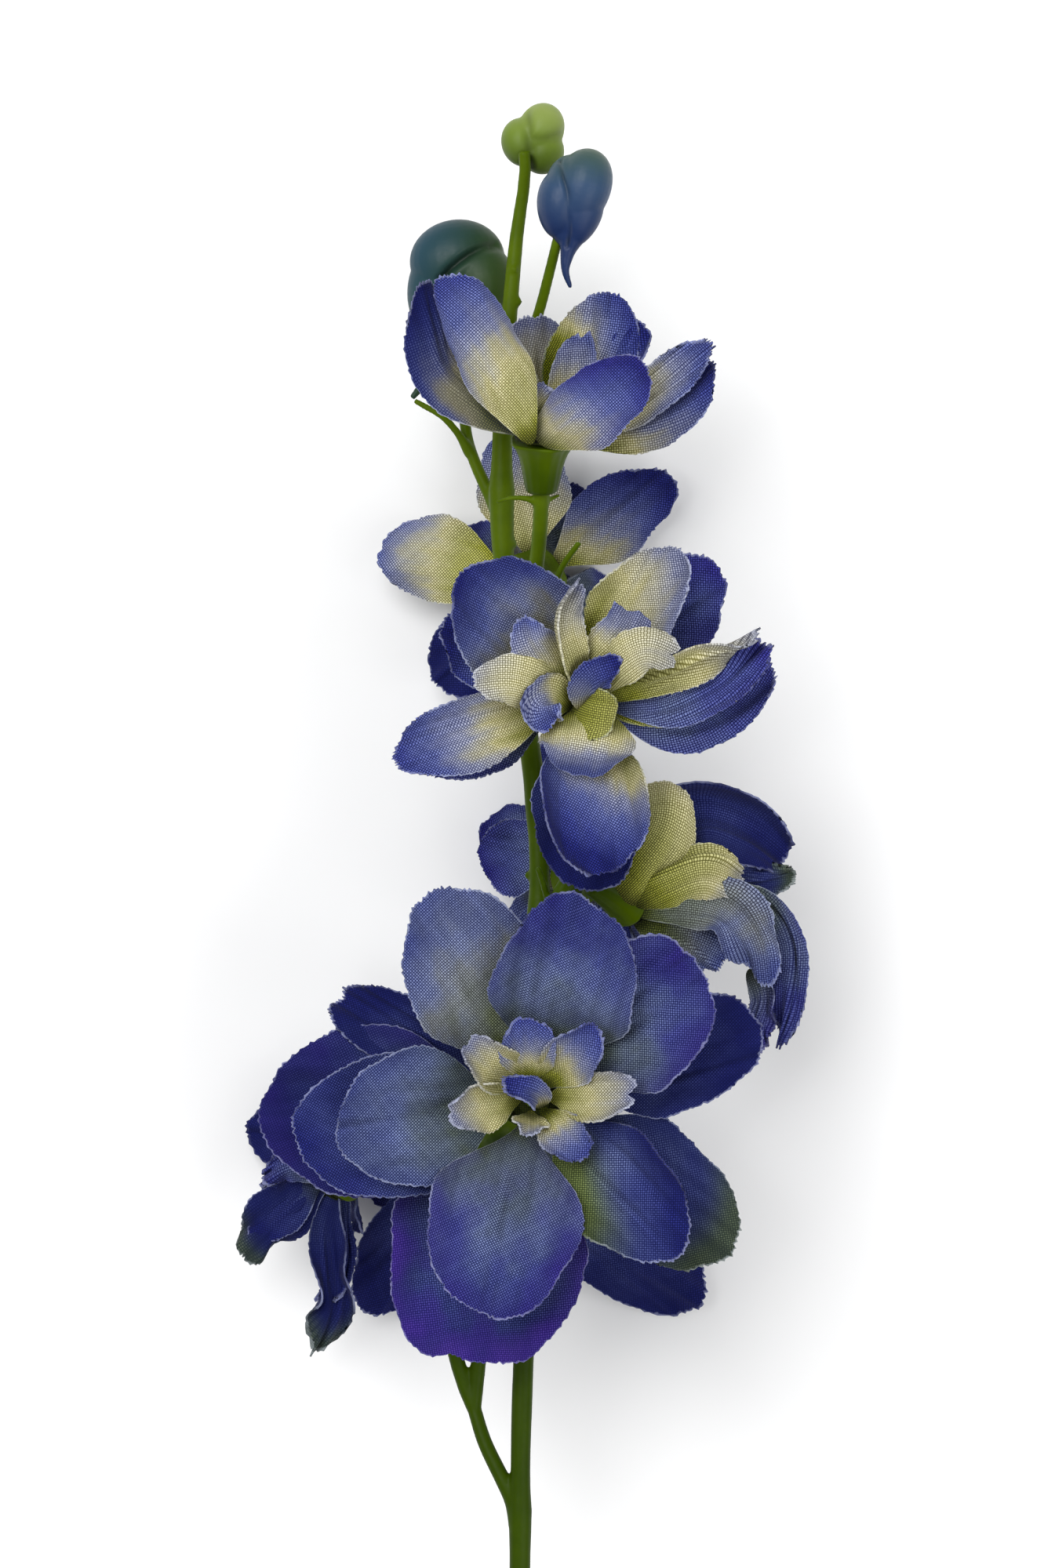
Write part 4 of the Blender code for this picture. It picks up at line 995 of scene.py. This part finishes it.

# Lobes as middle, half sizes, taper and turn; the spur's route and radii; creases as route, depth and width;
# where the twig enters; and the places between which the colours blend. Creases and the twig's entry also get
# painted shade.
buds = {
    "top_bud": {
        "slot": "bud_green", "material": "budGreen", "voxel": 0.2, "rounds": 8,
        "lobes": [((2.9, 100.2, 34.4), (3.6, 4.2, 3.6), 0, -20), ((0.1, 98.3, 34.2), (3.3, 3.8, 3.4), 0, 15),
                  ((3.1, 97, 33.8), (3.4, 3.6, 3.4), 0, 0), ((1.6, 98.8, 34), (3.4, 3.8, 3.4), 0, 0)],
        "spur": None,
        "creases": [([(0.6, 103, 36.4), (0.9, 100.6, 37.8), (1, 98.6, 37.8), (1.2, 96.8, 37.4)], 0.35, 0.9),
                    ([(1, 98.6, 37.8), (3.2, 98.4, 37.8), (5, 99.2, 36.8), (6.4, 99.8, 35.4)], 0.25, 0.9)],
        "entry": ((0.3, 91.2, 36), (0.8, 94.5, 36)),
        "blend": ((0, 94, 0), (3, 103, 0)),
    },
    "right_bud": {
        "slot": "bud_blue", "material": "budBlue", "voxel": 0.22, "rounds": 7,
        "lobes": [((5.9, 88, 44.6), (3.7, 5.4, 4.2), 0.1, -6), ((9.2, 90, 45.2), (4.2, 6.4, 4.6), 0.15, -14),
                  ((8.6, 86.2, 45.2), (3.5, 4.8, 3.4), 0.25, -10), ((7.4, 89, 44.8), (4, 6.4, 4.3), 0.1, 0),
                  ((6.5, 85, 44.6), (2.5, 3.6, 2.4), 0.1, 0)],
        "spur": ([(8.4, 86, 45), (7.5, 82.8, 45), (6.8, 80, 45), (6.6, 77.6, 45), (7.4, 75.2, 44.5)],
                 [3.2, 2.3, 1.2, 0.65, 0.35]),
        "creases": [([(5.6, 94.6, 46), (6, 92, 48.4), (6.7, 89.4, 49.2), (6.9, 86.5, 49),
                      (7, 83.5, 47.6), (6.8, 81.5, 46.2)], 0.5, 0.45),
                    ([(7.2, 92.5, 41), (7.4, 89, 40.4), (7.2, 85, 41.8)], 0.5, 0.5)],
        "entry": ((4.1, 77.5, 41.5), (5.4, 82.6, 44.2)),
        "blend": ((7, 84, 0), (9, 97, 0)),
    },
    "left_bud": {
        "slot": "bud_teal", "material": "budTeal", "voxel": 0.26, "rounds": 8,
        "lobes": [((-10, 80.9, 26), (7.4, 6.3, 5.2), 0, 8), ((-6, 77.6, 27), (5, 6, 4.4), 0, 10),
                  ((-13.4, 76.8, 25.2), (4.3, 7, 4.2), 0, -8), ((-10, 78, 25.6), (6.4, 6, 4.6), 0, 0)],
        "spur": ([(-14, 73, 25), (-14.6, 69.1, 25), (-14.2, 63.6, 26), (-17, 59.5, 27)],
                 [2.6, 1.7, 1, 0.45]),
        "creases": [([(-12.4, 77.6, 30), (-10.6, 79.4, 31.2), (-8, 81.4, 31.2), (-5.4, 82.8, 30.4),
                      (-3.4, 83.4, 28.6)], 1.3, 0.7),
                    ([(-12.6, 76.8, 29), (-11.4, 74.4, 28.8), (-10.4, 72.4, 27.4)], 0.7, 0.6)],
        "entry": ((-8.2, 67.7, 27.5), (-7.9, 73.5, 27)),
        "blend": ((-17, 80, 0), (-3, 74, 0)),
    },
}


def makeBud(node):
    facts = buds[node]
    bm = bmesh.new()
    for lobe in facts["lobes"]:
        ball(bm, *lobe)
    if facts["spur"]:
        points, radii = facts["spur"]
        route = smoothRoute(points, 0.6)
        sweep(bm, route, np.interp(np.linspace(0, len(radii) - 1, len(route)), range(len(radii)), radii), 20)
    mesh = fused(pieceName(node), bm, facts["voxel"], facts["rounds"])
    places, ways = readPlaces(mesh), np.empty(len(mesh.vertices) * 3, np.float32)
    mesh.vertex_normals.foreach_get("vector", ways)
    depth, hollow = np.zeros(len(places)), np.zeros(len(places))
    # Each crease is sunk into the surface and darkened with painted shade.
    for points, deep, wide in facts["creases"]:
        near = np.exp(-(routeDistance(places, smoothRoute(points, 0.8)) / wide) ** 2)
        depth = np.maximum(depth, deep * near)
        hollow = np.maximum(hollow, min(0.75, deep) * near ** 2)
    # Painted shade where the twig enters the bud.
    outside, inside = map(np.array, facts["entry"])
    way = (inside - outside) / np.linalg.norm(inside - outside)
    entry = routeDistance(places, [inside - 8 * way, inside + 0.5 * way])
    hollow = np.maximum(hollow, 0.6 * smooth(1.8, 1.0, entry))
    places = places - ways.reshape(-1, 3).astype(float) * depth[:, None]
    first, last = map(np.array, facts["blend"])
    blend = (places - first) @ (last - first) / ((last - first) @ (last - first))
    finishPlastic(mesh, node, facts["material"], places, blend, hollow)


for node in buds:
    makeBud(node)
print("buds ready")

# Steel wire inside the stem, seen at its cut end.
wire = {"tint": (150, 150, 152), "shade": (96, 96, 98), "roughness": 0.35, "stretch": (8, 0.4, 8),
        "grain": 900}
wireBoard = Board("wireSteel", {"Metallic": 1.0})
drawn = wireBoard.noise(wireBoard.stretched(wireBoard.place(), wire["stretch"]), wire["grain"], 2)
wireBoard.set({"Base Color": wireBoard.mix(drawn, colour(*wire["shade"]), colour(*wire["tint"])),
               "Roughness": wire["roughness"] + drawn * 0.15})
for slotPlace in frame["nodes"]["wire_core"].material_slots:
    slotPlace.material = wireBoard.material

floorFacts = {"tints": ((0.93, 0.93, 0.935, 1), (0.95, 0.95, 0.95, 1)), "grain": 40, "roughness": 0.9,
              "halfSize": 1.6}
floorBoard = Board("floorPaper", {"Roughness": floorFacts["roughness"]})
mottle = floorBoard.noise(floorBoard.place(), floorFacts["grain"], 2)
floorBoard.set({"Base Color": floorBoard.mix(mottle, *floorFacts["tints"])})
bm = bmesh.new()
bmesh.ops.create_grid(bm, x_segments=1, y_segments=1, size=floorFacts["halfSize"])
floor = shown("floor", meshFrom("floor", bm))
floor.data.materials.append(floorBoard.material)

lamps = {
    "key": {"from": (-0.50, 0.48, 1.35), "size": 1.05, "power": 18.5},
    "fill": {"from": (0.75, -0.45, 1.1), "size": 1.1, "power": 9.0},
}
surround = {"Color": (1, 1, 1, 1), "Strength": 0.42}
for name, facts in lamps.items():
    lamp = bpy.data.lights.new(name, "AREA")
    lamp.size = facts["size"]
    lamp.energy = facts["power"]
    lampObject = shown(name, lamp)
    lampObject.location = facts["from"]
    lampObject.rotation_euler = (-Vector(facts["from"])).to_track_quat("-Z", "Y").to_euler()
world = bpy.data.worlds.new("studio")
world.use_nodes = True
for key, value in surround.items():
    world.node_tree.nodes["Background"].inputs[key].default_value = value
bpy.context.scene.world = world
bpy.context.scene.view_settings.view_transform = "Standard"
print("stage ready")
